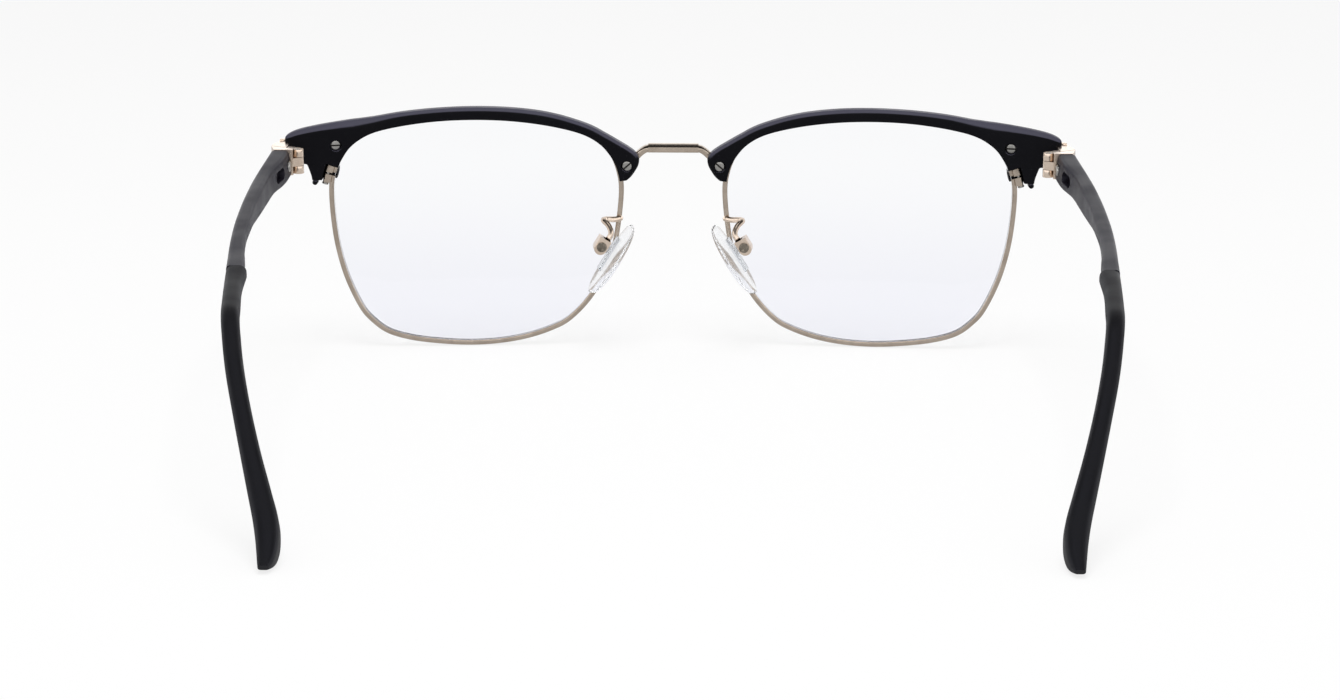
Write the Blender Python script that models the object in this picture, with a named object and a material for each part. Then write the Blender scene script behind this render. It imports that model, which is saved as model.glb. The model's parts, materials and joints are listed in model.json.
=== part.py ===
"""Browline spectacles, standing open on their eyewires and temple tips.

Units are metres. X runs across the face with the wearer's left at +X, Y runs from the lenses
back to the temple tips, and Z is up. One side is modelled at +X, and a mirrored parent empty
makes the other from the same meshes.
"""

import math

import bmesh
import bpy
from mathutils import Matrix, Vector

# Driving dimensions
lens_width = 0.0512
lens_height = 0.0406
lens_gap = 0.0188
lens_thickness = 0.0015
base_curve_radius = 0.150
wrap_slope = math.tan(math.radians(3.5))
lens_tilt = math.radians(3.2)
temple_slope = math.radians(4.8)
hinge_beyond_lens = 0.0049
hinge_behind_lens_edge = 0.00844
hinge_below_lens_top = 0.0055
temple_length = 0.0660
tip_length = 0.0655
seat_gap = 0.00012
head_gap = 0.00003
running_gap = 0.00008
cut_overrun = 0.0006

half_width = lens_width / 2
half_height = lens_height / 2
lens_centre_x = (lens_gap + lens_width) / 2
lens_edge_x = lens_gap / 2 + lens_width


def front_depth(x, z):
    """How far the curved front lies behind the flat plane at the nose, at a place across it."""
    from_centre = (x - lens_centre_x) ** 2 + z**2
    wrap = wrap_slope * (x - lens_gap / 2)
    return wrap + (from_centre - half_width**2) / (2 * base_curve_radius)


hinge_place = Vector((lens_edge_x + hinge_beyond_lens, 0, half_height - hinge_below_lens_top))
hinge_place.y = front_depth(lens_edge_x, hinge_place.z) + hinge_behind_lens_edge

# Materials


def material(name, colour, roughness, metallic=0.0, alpha=1.0):
    made = bpy.data.materials.new(name)
    made.use_nodes = True
    shader = made.node_tree.nodes["Principled BSDF"]
    shader.inputs["Base Color"].default_value = (*colour, 1.0)
    shader.inputs["Roughness"].default_value = roughness
    shader.inputs["Metallic"].default_value = metallic
    shader.inputs["Alpha"].default_value = alpha
    made.diffuse_color = (*colour, alpha)
    return made


for startup_object in list(bpy.data.objects):
    bpy.data.objects.remove(startup_object, do_unlink=True)

matte_black = material("matte_black", (0.012, 0.012, 0.014), 0.55)
soft_black = material("soft_black", (0.014, 0.014, 0.015), 0.7)
rose_gold = material("rose_gold", (0.78, 0.62, 0.50), 0.25, metallic=1.0)
screw_steel = material("screw_steel", (0.45, 0.44, 0.42), 0.35, metallic=1.0)
clear_lens = material("clear_lens", (0.93, 0.94, 0.98), 0.05, alpha=0.25)
clear_silicone = material("clear_silicone", (0.90, 0.91, 0.92), 0.25, alpha=0.5)
clear_core = material("clear_core", (0.80, 0.81, 0.82), 0.2, alpha=0.6)

# Parents: a mirrored empty for each side, and the tilted front under it


def empty(name, parent=None, location=(0, 0, 0), turn_about_x=0.0):
    made = bpy.data.objects.new(name, None)
    made.parent = parent
    made.location = location
    made.rotation_euler = (turn_about_x, 0, 0)
    bpy.context.scene.collection.objects.link(made)
    return made


stand = empty("stand")
sides = {}
for side_name, side_sign in (("left", 1), ("right", -1)):
    side = empty(side_name + "_side", stand)
    side.scale = (side_sign, 1, 1)
    sides[side_name] = {"side": side, "front": empty(side_name + "_front", side, turn_about_x=lens_tilt)}

front_turn = Matrix.Rotation(lens_tilt, 4, "X")
temple_turn = Matrix.Rotation(-temple_slope, 4, "X")

# Mesh tools


def loft(rings, first_pole=None, last_pole=None):
    """A closed body through rings of points, capped flat or by a fan to a pole."""
    mesh = bmesh.new()
    rows = [[mesh.verts.new(point) for point in ring] for ring in rings]
    count = len(rows[0])
    for row, after in zip(rows, rows[1:]):
        for i in range(count):
            j = (i + 1) % count
            mesh.faces.new((row[i], row[j], after[j], after[i]))
    for row, pole in ((rows[0], first_pole), (rows[-1], last_pole)):
        if pole is None:
            mesh.faces.new(row)
            continue
        tip = mesh.verts.new(pole)
        for i in range(count):
            mesh.faces.new((row[i], row[(i + 1) % count], tip))
    bmesh.ops.recalc_face_normals(mesh, faces=mesh.faces)
    return mesh


def circle(centre, radius, u, v, count):
    """Points of a circle about the centre in the plane of the unit vectors u and v."""
    angles = (math.tau * i / count for i in range(count))
    return [centre + u * (radius * math.cos(a)) + v * (radius * math.sin(a)) for a in angles]


def side_axes(direction):
    """Two unit vectors square to a direction."""
    upright = abs(direction.z) >= abs(direction.x) + abs(direction.y)
    helper = Vector((1, 0, 0)) if upright else Vector((0, 0, 1))
    u = direction.cross(helper).normalized()
    return u, direction.cross(u).normalized()


def turned(base, direction, profile, count):
    """A turned body: profile holds (distance along the axis, radius) pairs."""
    u, v = side_axes(direction)
    return loft([circle(base + direction * along, radius, u, v, count) for along, radius in profile])


def tube(path, radius, count):
    """A round wire along a path of points."""
    rings = []
    u, v = side_axes((path[1] - path[0]).normalized())
    for i, point in enumerate(path):
        before = path[max(i - 1, 0)]
        after = path[min(i + 1, len(path) - 1)]
        direction = (after - before).normalized()
        v = direction.cross(u).normalized()
        u = v.cross(direction).normalized()
        rings.append(circle(point, radius, u, v, count))
    return loft(rings)


def box(low, high, place=Matrix.Identity(4)):
    """A box between two corners, moved by a matrix."""
    corners = [(low[0], low[1]), (high[0], low[1]), (high[0], high[1]), (low[0], high[1])]
    return loft([[place @ Vector((x, y, z)) for x, y in corners] for z in (low[2], high[2])])


def prism(outline, bottom, top, place=Matrix.Identity(4)):
    """An upright body over a plan outline of (x, y) points."""
    return loft([[place @ Vector((x, y, z)) for x, y in outline] for z in (bottom, top)])


def rounded_plan(outline, radius_shares, radius, steps):
    """The outline with an arc at each corner whose share of the radius isn't zero."""
    points = [Vector(point) for point in outline]
    made = []
    for i, corner in enumerate(points):
        reach = radius * radius_shares[i]
        if not reach:
            made.append(corner)
            continue
        before = corner + (points[i - 1] - corner).normalized() * reach
        after = corner + (points[(i + 1) % len(points)] - corner).normalized() * reach
        for k in range(steps + 1):
            t = k / steps
            made.append(before * (1 - t) ** 2 + corner * (2 * t * (1 - t)) + after * t**2)
    return made


def smooth_points(points, per_span):
    """Points along a smooth open curve through the given ones."""
    given = [Vector(point) for point in points]
    ends = [given[0] * 2 - given[1], *given, given[-1] * 2 - given[-2]]
    made = []
    for a, b, c, d in zip(ends, ends[1:], ends[2:], ends[3:]):
        for k in range(per_span):
            made.append(spline(a, b, c, d, k / per_span))
    made.append(given[-1])
    return made


def spline(a, b, c, d, t):
    """The Catmull-Rom point at t from b to c."""
    return ((b * 2) + (c - a) * t + (a * 2 - b * 5 + c * 4 - d) * t**2 + (b * 3 - a - c * 3 + d) * t**3) / 2


def read_table(table, share):
    """The values of a table of rows at a share, on a smooth curve through the rows."""
    last = len(table) - 1
    i = 0
    while i < last - 1 and share > table[i + 1][0]:
        i += 1
    rows = [table[max(i - 1, 0)], table[i], table[i + 1], table[min(i + 2, last)]]
    start, end = rows[1], rows[2]
    t = (share - start[0]) / (end[0] - start[0])
    values = []
    for k in range(1, len(start)):
        span = end[0] - start[0]
        slope_in = span * (end[k] - rows[0][k]) / (end[0] - rows[0][0])
        slope_out = span * (rows[3][k] - start[k]) / (rows[3][0] - start[0])
        rise = end[k] - start[k]
        bow = 3 * rise - 2 * slope_in - slope_out
        twist = slope_in + slope_out - 2 * rise
        values.append(start[k] + t * (slope_in + t * (bow + t * twist)))
    return values


def make(name, mesh, look, parent):
    """The object of a mesh, smooth but for its sharp edges."""
    data = bpy.data.meshes.new(name)
    mesh.to_mesh(data)
    mesh.free()
    data.materials.append(look)
    data.shade_smooth()
    data.set_sharp_from_angle(angle=math.radians(32))
    made = bpy.data.objects.new(name, data)
    made.parent = parent
    bpy.context.scene.collection.objects.link(made)
    return made


def helper(name, mesh, parent):
    """A body that only shapes another one."""
    made = make(name, mesh, matte_black, parent)
    made.hide_render = True
    made.display_type = "WIRE"
    return made


def shape(obj, operation, mesh, label):
    """Adds a Boolean with a helper of its own."""
    other = helper(obj.name + "_" + label, mesh, obj.parent)
    modifier = obj.modifiers.new(label, "BOOLEAN")
    modifier.operation = operation
    modifier.object = other
    modifier.solver = "EXACT"


def cut(obj, mesh, label):
    shape(obj, "DIFFERENCE", mesh, label)


def add(obj, mesh, label):
    shape(obj, "UNION", mesh, label)


# Lens outline, read by its share of the way round from the rim lock, down the temporal side first

lens_outline_shares = (
    (0.985, 0.515),
    (1.0, 0.37),
    (0.99, 0.12),
    (0.96, -0.14),
    (0.9, -0.41),
    (0.807, -0.663),
    (0.728, -0.786),
    (0.615, -0.89),
    (0.44, -0.955),
    (0.22, -0.99),
    (0.02, -1.0),
    (-0.18, -0.982),
    (-0.36, -0.938),
    (-0.521, -0.868),
    (-0.64, -0.784),
    (-0.772, -0.611),
    (-0.88, -0.39),
    (-0.944, -0.173),
    (-0.98, 0.07),
    (-1.0, 0.35),
    (-0.985, 0.52),
    (-0.939, 0.673),
    (-0.858, 0.79),
    (-0.724, 0.88),
    (-0.5, 0.947),
    (-0.24, 0.988),
    (0.03, 1.0),
    (0.3, 0.985),
    (0.56, 0.94),
    (0.74, 0.88),
    (0.866, 0.779),
    (0.943, 0.645),
)
outline_steps_per_span = 12


def dense_outline():
    """Many points round the lens outline, and the length up to each."""
    points = [Vector((lens_centre_x + u * half_width, w * half_height)) for u, w in lens_outline_shares]
    count = len(points)
    dense = []
    for i in range(count):
        a, b, c, d = points[i - 1], points[i], points[(i + 1) % count], points[(i + 2) % count]
        for k in range(outline_steps_per_span):
            dense.append(spline(a, b, c, d, k / outline_steps_per_span))
    lengths = [0.0]
    for i in range(len(dense)):
        lengths.append(lengths[-1] + (dense[(i + 1) % len(dense)] - dense[i]).length)
    return dense, lengths


outline_points, outline_lengths = dense_outline()


def outline_at(way_share):
    """The outline's point and its outward unit normal at a share of the way round."""
    along = (way_share % 1.0) * outline_lengths[-1]
    i = 0
    while outline_lengths[i + 1] < along:
        i += 1
    start = outline_points[i]
    end = outline_points[(i + 1) % len(outline_points)]
    before = outline_points[i - 1]
    after = outline_points[(i + 2) % len(outline_points)]
    t = (along - outline_lengths[i]) / (outline_lengths[i + 1] - outline_lengths[i])
    tangent = (end - before).lerp(after - start, t).normalized()
    return start.lerp(end, t), Vector((-tangent.y, tangent.x))


def on_front(way_share, rise, behind):
    """A place out from the lens outline by a rise, and behind the curved front."""
    point, out = outline_at(way_share)
    depth = front_depth(point.x, point.y)
    return Vector((point.x + out.x * rise, depth + behind, point.y + out.y * rise))


def way_length(way_share):
    return way_share * outline_lengths[-1]


def outline_sweep(start_share, end_share, count, profile):
    """Rings of a (rise, behind) profile along a stretch of the lens outline."""
    rings = []
    for i in range(count + 1):
        way_share = start_share + (end_share - start_share) * i / count
        rings.append([on_front(way_share, rise, behind) for rise, behind in profile])
    return rings


# Lens: a thin curved shell with a V bevel all round

lens_edge_inset = 0.0005
bevel_tip_half = 0.00006
bevel_foot_half = 0.00040
lens_ring_shares = (0.55,)
lens_steps = 64
lens_half = lens_thickness / 2


def lens_mesh():
    edge_profile = (
        (-lens_edge_inset, -lens_half),
        (-lens_edge_inset, -bevel_foot_half),
        (0, -bevel_tip_half),
        (0, bevel_tip_half),
        (-lens_edge_inset, bevel_foot_half),
        (-lens_edge_inset, lens_half),
    )
    edge_rings = []
    for rise, behind in edge_profile:
        edge_rings.append([on_front(i / lens_steps, rise, behind) for i in range(lens_steps)])

    def face_ring(ring_share, behind):
        ring = []
        for i in range(lens_steps):
            edge = on_front(i / lens_steps, -lens_edge_inset, 0)
            x = lens_centre_x + (edge.x - lens_centre_x) * ring_share
            z = edge.z * ring_share
            ring.append(Vector((x, front_depth(x, z) + behind, z)))
        return ring

    front_rings = [face_ring(share, -lens_half) for share in lens_ring_shares]
    rear_rings = [face_ring(share, lens_half) for share in reversed(lens_ring_shares)]
    centre_depth = front_depth(lens_centre_x, 0)
    front_pole = Vector((lens_centre_x, centre_depth - lens_half, 0))
    rear_pole = Vector((lens_centre_x, centre_depth + lens_half, 0))
    return loft(front_rings + edge_rings + rear_rings, front_pole, rear_pole)


# Eyewire: a grooved wire round the lens, open at the lock between its two closing blocks

rim_outer_rise = 0.0006
rim_inner_drop = 0.0003
rim_half_width = 0.0008
rim_corner = 0.00025
groove_rise = 0.00014
groove_mouth_half = 0.00042
groove_floor_half = 0.00010
rim_end_share = 0.0020
lock_half_gap_share = 0.0012
lock_lower_share = 0.0090
lock_upper_share = 0.0074
lock_block_front = 0.00072
lock_block_reach = 0.00170
lock_block_rear = 0.00145
lock_block_root = 0.0003
lock_block_corner = 0.0004
lock_screw_rise = 0.00115
lock_screw_behind = 0.00035
lock_screw_radius = 0.00036
lock_screw_head_radius = 0.00058
lock_screw_head_height = 0.00035
lock_screw_depth_share = 0.75

rim_profile = (
    (rim_outer_rise, -rim_half_width + rim_corner),
    (rim_outer_rise, rim_half_width - rim_corner),
    (rim_outer_rise - rim_corner, rim_half_width),
    (-rim_inner_drop, rim_half_width),
    (-rim_inner_drop, groove_mouth_half),
    (groove_rise, groove_floor_half),
    (groove_rise, -groove_floor_half),
    (-rim_inner_drop, -groove_mouth_half),
    (-rim_inner_drop, -rim_half_width),
    (rim_outer_rise - rim_corner, -rim_half_width),
)


def lock_block_profile(spare):
    """The closing block's section, grown by a spare gap all round."""
    root = lock_block_root - spare
    reach = lock_block_reach + spare
    front = -lock_block_front - spare
    rear = lock_block_rear + spare
    return (
        (root, front),
        (reach - lock_block_corner, front),
        (reach, front + lock_block_corner),
        (reach, rear - lock_block_corner),
        (reach - lock_block_corner, rear),
        (root, rear),
    )


def lock_block_mesh(first_share, last_share, spare):
    return loft(outline_sweep(first_share, last_share, 2, lock_block_profile(spare)))


def lock_axis():
    """The lock screw's middle and its direction, which points down the eyewire."""
    middle = on_front(0, lock_screw_rise, lock_screw_behind)
    above = on_front(-lock_half_gap_share, lock_screw_rise, lock_screw_behind)
    return middle, (middle - above).normalized()


def rim_mesh():
    """The open wire. Its steps match the lens's, so that the bevel stays clear of the groove."""
    shares = [rim_end_share, *(i / lens_steps for i in range(1, lens_steps)), 1 - rim_end_share]
    return loft([[on_front(share, rise, behind) for rise, behind in rim_profile] for share in shares])


def build_rim(name, front):
    rim = make(name, rim_mesh(), rose_gold, front)
    lower_end = lock_half_gap_share + lock_lower_share
    upper_end = lock_half_gap_share + lock_upper_share
    add(rim, lock_block_mesh(lock_half_gap_share, lower_end, 0), "lower_block")
    add(rim, lock_block_mesh(-upper_end, -lock_half_gap_share, 0), "upper_block")
    middle, down = lock_axis()
    bore_radius = lock_screw_radius + seat_gap
    bore_top = -way_length(upper_end) * lock_screw_depth_share - seat_gap
    bore_profile = ((bore_top, bore_radius), (way_length(lower_end) + cut_overrun, bore_radius))
    cut(rim, turned(middle, down, bore_profile, 12), "lock_bore")
    return rim


# Screws: a slotted or crossed head on a plain shank, which stands for the thread


def screw_mesh(seat, into, head_radius, head_height, shank_radius, shank_length, dome_share, count=16):
    """A screw whose head sits on the seat point and whose shank runs along into."""
    crown = head_height * dome_share
    profile = (
        (-head_height, head_radius - crown),
        (crown - head_height, head_radius),
        (0, head_radius),
        (0, shank_radius),
        (shank_length, shank_radius),
    )
    return turned(seat, into, profile, count)


def slot_mesh(seat, into, head_radius, head_height, slot_width, depth_share, turn):
    """The cutter of a screw slot, turned about the screw's axis."""
    u, v = side_axes(into)
    along = u * math.cos(turn) + v * math.sin(turn)
    across = into.cross(along).normalized()
    place = Matrix.Identity(4)
    place.col[0][:3] = along
    place.col[1][:3] = across
    place.col[2][:3] = into
    place.col[3][:3] = seat
    reach = head_radius + cut_overrun
    half = slot_width / 2
    floor = -head_height * (1 - depth_share)
    return box((-reach, -half, -head_height - cut_overrun), (reach, half, floor), place)


# Brow: a moulding over the eyewire's upper run, with a channel for the wire under it

brow_front = 0.0020
brow_rear = 0.0018
brow_cover = 0.0003
brow_rise = 0.00235
brow_lower_bevel = 0.0002
brow_front_bevel = 0.0007
brow_rear_bevel = 0.0004
brow_end_reach = 0.00785
brow_end_depth = 0.0107
channel_half_width = rim_half_width + seat_gap
channel_rise = rim_outer_rise + seat_gap
finger_radius = 0.00048
finger_drop = 0.0004
finger_front = -0.0006

brow_start_share = 0.6066
brow_corner_share = 0.945
brow_end_share = 1.0055
# Each row is a share of the run from the start to the corner, then shares of the rise, of the rear
# bevel and of the cover over the lens there
brow_rise_shares = (
    (0.0, 0.54, 0.6, 0.2),
    (0.009, 0.89, 0.8, 0.2),
    (0.023, 1.27, 0.9, 0.25),
    (0.0405, 1.66, 0.9, 0.3),
    (0.056, 1.82, 0.9, 0.4),
    (0.073, 1.70, 1.0, 0.6),
    (0.09, 1.43, 1.0, 0.8),
    (0.112, 1.11, 1.0, 1.0),
    (0.137, 0.87, 1.0, 1.0),
    (0.167, 0.735, 1.0, 1.0),
    (0.241, 0.704, 1.0, 1.0),
    (0.317, 0.79, 1.0, 1.0),
    (0.388, 0.835, 1.0, 1.0),
    (0.59, 0.82, 1.0, 1.0),
    (0.725, 0.82, 1.0, 1.0),
    (0.859, 0.90, 1.1, 1.0),
    (0.928, 1.03, 1.4, 1.0),
    (1.0, 1.43, 1.9, 1.0),
)
brow_run_shares = (0.0, 0.009, 0.023, 0.0405, 0.056, 0.073, 0.09, 0.112, 0.137, 0.167)
brow_even_steps = 26
# Outer end: how far along the last run each lower edge point lies, its partner on the outer edge,
# in shares of the end's reach and depth from the lens's top outer corner, then the shares of the
# rear bevel and of the cover there
brow_end_shares = (
    (0.10, -0.10, -0.046, 2.1, 1.0),
    (0.20, 0.37, -0.102, 2.2, 1.0),
    (0.32, 0.74, -0.162, 2.0, 1.0),
    (0.42, 0.943, -0.226, 1.4, 1.0),
    (0.50, 1.0, -0.285, 0.8, 1.0),
    (0.58, 0.98, -0.440, 0.5, 1.0),
    (0.66, 0.91, -0.645, 0.5, 1.0),
    (0.72, 0.815, -0.696, 0.5, 1.2),
    (0.78, 0.624, -0.710, 0.5, 1.6),
    (0.84, 0.541, -0.734, 0.5, 2.0),
    (0.90, 0.497, -0.804, 0.5, 2.1),
    (0.95, 0.446, -0.920, 0.5, 2.1),
    (1.0, 0.427, -1.0, 0.5, 1.8),
)
finger_place_shares = (0.364, -1.0)

brow_screw_head_radius = 0.00093
brow_screw_head_height = 0.0004
brow_screw_shank_radius = 0.0005
brow_screw_slot_width = 0.00026
brow_screw_rise = 0.0020
brow_lug_half = 0.0006
# Each brow screw: its place on the lens outline, the share of its rise, and the turn of its slot
brow_screw_places = {"inner": (0.622, 1.02, math.radians(50)), "outer": (0.9699, 1.17, math.radians(90))}


def end_corner(reach_share, depth_share):
    """A plan place at the brow's outer end, from the lens's top outer corner."""
    x = lens_centre_x + half_width + reach_share * brow_end_reach
    return Vector((x, half_height + depth_share * brow_end_depth))


def brow_ring(lower, upper, rear_bevel_share):
    """The brow's section between a lower and an upper edge point across the front."""
    rear_bevel = brow_rear_bevel * rear_bevel_share
    up = (upper - lower).normalized()
    length = (upper - lower).length
    profile = (
        (0, brow_lower_bevel - brow_front),
        (brow_lower_bevel, -brow_front),
        (length - brow_front_bevel, -brow_front),
        (length, brow_front_bevel - brow_front),
        (length, brow_rear - rear_bevel),
        (length - rear_bevel, brow_rear),
        (brow_lower_bevel, brow_rear),
        (0, brow_rear - brow_lower_bevel),
    )
    ring = []
    for rise, behind in profile:
        place = lower + up * rise
        ring.append(Vector((place.x, front_depth(place.x, place.y) + behind, place.y)))
    return ring


def brow_mesh():
    even_start = brow_run_shares[-1]
    even_shares = [even_start + (1 - even_start) * i / brow_even_steps for i in range(1, brow_even_steps + 1)]
    rings = []
    for run_share in (*brow_run_shares, *even_shares):
        point, out = outline_at(brow_start_share + (brow_corner_share - brow_start_share) * run_share)
        rise_share, bevel_share, cover_share = read_table(brow_rise_shares, run_share)
        lower = point - out * brow_cover * cover_share
        rings.append(brow_ring(lower, point + out * brow_rise * rise_share, bevel_share))
    for run_share, reach_share, depth_share, bevel_share, cover_share in brow_end_shares:
        point, out = outline_at(brow_corner_share + (brow_end_share - brow_corner_share) * run_share)
        lower = point - out * brow_cover * cover_share
        rings.append(brow_ring(lower, end_corner(reach_share, depth_share), bevel_share))
    return loft(rings)


def brow_screw_axis(which):
    """The place of a brow screw in the middle of the front's thickness, and its rearward axis."""
    way_share, rise_share, _ = brow_screw_places[which]
    place = on_front(way_share, rise_share * brow_screw_rise, 0)
    across = wrap_slope + (place.x - lens_centre_x) / base_curve_radius
    return place, Vector((-across, 1, -place.z / base_curve_radius)).normalized()


def brow_screw_seat(which):
    """Where a brow screw's head sits, flush with the rear of the brow, and the way it is driven."""
    place, rearward = brow_screw_axis(which)
    return place + rearward * (brow_rear * rearward.y - brow_screw_head_height + head_gap), -rearward


def channel_mesh():
    inner = -2 * brow_cover - cut_overrun
    half = channel_half_width
    profile = ((inner, -half), (channel_rise, -half), (channel_rise, half), (inner, half))
    overrun_share = cut_overrun / outline_lengths[-1]
    start = brow_start_share - overrun_share
    return loft(outline_sweep(start, brow_end_share + overrun_share, 44, profile))


def lock_notch_mesh():
    """Room behind the brow's front wall for the upper closing block and the screw."""
    inner = -2 * brow_cover - cut_overrun
    front = -channel_half_width
    reach = lock_block_reach + seat_gap
    rear = brow_rear + cut_overrun
    profile = ((inner, front), (reach, front), (reach, rear), (inner, rear))
    top_share = -lock_half_gap_share - lock_upper_share - seat_gap / outline_lengths[-1]
    bottom_share = brow_end_share - 1 + cut_overrun / outline_lengths[-1]
    return loft(outline_sweep(top_share, bottom_share, 4, profile))


def finger_mesh():
    """The small peg that hangs from the brow's outer lobe."""
    place = end_corner(*finger_place_shares)
    middle = Vector((place.x, front_depth(place.x, place.y) + finger_front, place.y - finger_drop))
    length = brow_rear - finger_front
    return turned(middle, Vector((0, 1, 0)), ((0, finger_radius), (length, finger_radius)), 12)


def build_brow(name, front):
    brow = make(name, brow_mesh(), matte_black, front)
    add(brow, finger_mesh(), "finger")
    cut(brow, channel_mesh(), "channel")
    cut(brow, lock_notch_mesh(), "lock_notch")
    cut(brow, bridge_arm_mesh(seat_gap), "bridge_pocket")
    cut(brow, lug_disc_mesh(seat_gap), "lug_pocket")
    cut(brow, tongue_mesh(seat_gap), "tongue_pocket")
    cut(brow, tongue_end_mesh(seat_gap), "tongue_end_pocket")
    cut(brow, to_front(end_block_mesh(seat_gap)), "end_block_pocket")
    for which in brow_screw_places:
        seat, into = brow_screw_seat(which)
        head = brow_screw_head_radius + seat_gap
        shank = brow_screw_shank_radius + seat_gap
        reach = brow_rear - brow_screw_head_height - brow_lug_half + seat_gap
        floor = head_gap
        top = -brow_screw_head_height - cut_overrun
        profile = ((top, head), (floor, head), (floor, shank), (reach, shank))
        cut(brow, turned(seat, into, profile, 16), which + "_screw_hole")
    return brow


def build_brow_screws(side_label, front):
    for which, (_, _, slot_turn) in brow_screw_places.items():
        seat, into = brow_screw_seat(which)
        length = brow_rear - brow_screw_head_height + brow_lug_half / 2
        mesh = screw_mesh(
            seat, into, brow_screw_head_radius, brow_screw_head_height, brow_screw_shank_radius, length, 0.2
        )
        screw = make(side_label + "_brow_screw_" + which, mesh, screw_steel, front)
        slot = slot_mesh(
            seat, into, brow_screw_head_radius, brow_screw_head_height, brow_screw_slot_width, 0.5, slot_turn
        )
        cut(screw, slot, "slot")


# Bridge: a flat polished bar whose arms bend down to a lug inside each brow's inner tip

bridge_bar_end_to_lens = 0.00492
bridge_bar_half_length = lens_gap / 2 - bridge_bar_end_to_lens
bridge_bar_height = 0.00146
bridge_chamfer_height = 0.00030
bridge_chamfer_depth = 0.00075
bridge_bar_below_lens_top = 0.00543
bridge_bar_z = half_height - bridge_bar_below_lens_top
bridge_bar_front = 0.0014
bridge_bar_rear = 0.0010
bridge_step = 0.00012
bridge_bevel = 0.0002
bridge_lug_radius = 0.0012
# Arm of the bridge from the bar's end to the lug, in shares of the way out and the way down
bridge_arm_shares = (
    (-0.12, 0.0),
    (0.10, 0.05),
    (0.24, 0.14),
    (0.40, 0.29),
    (0.57, 0.50),
    (0.78, 0.76),
    (1.0, 1.0),
)


def bridge_arm_path():
    lug, _ = brow_screw_axis("inner")
    bar_end = Vector((bridge_bar_half_length, (bridge_bar_rear - bridge_bar_front) / 2, bridge_bar_z))
    way = lug - bar_end
    given = []
    for out_share, down_share in bridge_arm_shares:
        given.append(bar_end + Vector((way.x * out_share, way.y * down_share, way.z * down_share)))
    return smooth_points(given, 2)


def strap_ring(middle, up, half_height_here, half_depth_here, bevel, chamfer_share=0.0):
    """A bevelled rectangle square to a strap, with a share of the chamfer on its rear top edge."""
    back = Vector((0, 1, 0))
    h, d = half_height_here, half_depth_here
    corners = (
        (-h + bevel, -d),
        (h - bevel, -d),
        (h, -d + bevel),
        (h, d - bevel - bridge_chamfer_depth * chamfer_share),
        (h - bevel - bridge_chamfer_height * chamfer_share, d),
        (-h + bevel, d),
        (-h, d - bevel),
        (-h, -d + bevel),
    )
    return [middle + up * rise + back * behind for rise, behind in corners]


def bridge_arm_rings(spare):
    """Rings of one arm, from the bar to the middle of the lug."""
    path = bridge_arm_path()
    half_depth_bar = (bridge_bar_front + bridge_bar_rear) / 2
    rings = []
    for i, middle in enumerate(path):
        after = path[min(i + 1, len(path) - 1)]
        before = path[max(i - 1, 0)]
        direction = (after - before).normalized()
        up = Vector((-direction.z, 0, direction.x)).normalized()
        share = i / (len(path) - 1)
        half_depth = half_depth_bar + (brow_lug_half - half_depth_bar) * min(1.0, share * 1.5)
        half_high = bridge_bar_height / 2 - bridge_step
        chamfer = max(0.0, 1 - share * 1.5)
        rings.append(strap_ring(middle, up, half_high + spare, half_depth + spare, bridge_bevel, chamfer))
    return rings


def bridge_arm_mesh(spare):
    """One arm, grown by a spare gap where it shapes the brow's pocket."""
    return loft(bridge_arm_rings(spare))


def lug_disc_mesh(spare):
    lug, rearward = brow_screw_axis("inner")
    half = brow_lug_half + spare
    profile = ((-half, bridge_lug_radius + spare), (half, bridge_lug_radius + spare))
    return turned(lug, rearward, profile, 20)


def lug_bore_mesh():
    lug, rearward = brow_screw_axis("inner")
    bore = brow_screw_shank_radius + seat_gap
    depth = brow_lug_half + cut_overrun
    return turned(lug, rearward, ((-depth, bore), (depth, bore)), 12)


def mirrored(mesh):
    bmesh.ops.scale(mesh, vec=(-1, 1, 1), verts=mesh.verts)
    bmesh.ops.recalc_face_normals(mesh, faces=mesh.faces)
    return mesh


def build_bridge(front):
    middle_y = (bridge_bar_rear - bridge_bar_front) / 2
    half_depth = (bridge_bar_front + bridge_bar_rear) / 2
    ends = [Vector((x, middle_y, bridge_bar_z)) for x in (-bridge_bar_half_length, bridge_bar_half_length)]
    up = Vector((0, 0, 1))
    bar = loft([strap_ring(end, up, bridge_bar_height / 2, half_depth, bridge_bevel, 1.0) for end in ends])
    bridge = make("bridge", bar, rose_gold, front)
    add(bridge, bridge_arm_mesh(0), "left_arm")
    add(bridge, mirrored(bridge_arm_mesh(0)), "right_arm")
    add(bridge, lug_disc_mesh(0), "left_lug")
    add(bridge, mirrored(lug_disc_mesh(0)), "right_lug")
    cut(bridge, lug_bore_mesh(), "left_bore")
    cut(bridge, mirrored(lug_bore_mesh()), "right_bore")
    return bridge


# End piece: a tongue inside the brow, the strap that turns the corner, and two hinge knuckles

tongue_half_height = 0.00115
end_block_height = 0.0045
end_block_top = 0.0023
knuckle_radius = 0.00093
knuckle_stack = 0.0043
middle_knuckle_share = 0.34
hinge_screw_radius = 0.00040
hinge_screw_head_radius = 0.00066
hinge_screw_head_height = 0.00035
knuckle_arm_half = 0.00055
# Plan of the block behind the brow's end, from the hinge axis, in shares of its outermost reach
end_block_reach = 0.0049
end_block_shares = (
    (0.60, -1.42),
    (0.80, -1.36),
    (0.90, -1.02),
    (1.0, -0.50),
    (0.985, -0.40),
    (0.44, -0.10),
    (0.41, -0.50),
    (0.41, -1.16),
)
end_block_round_shares = (0, 0.6, 1.0, 1.0, 0, 0, 0, 0)
end_block_round = 0.0006
cap_reach_share = 0.99


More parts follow.
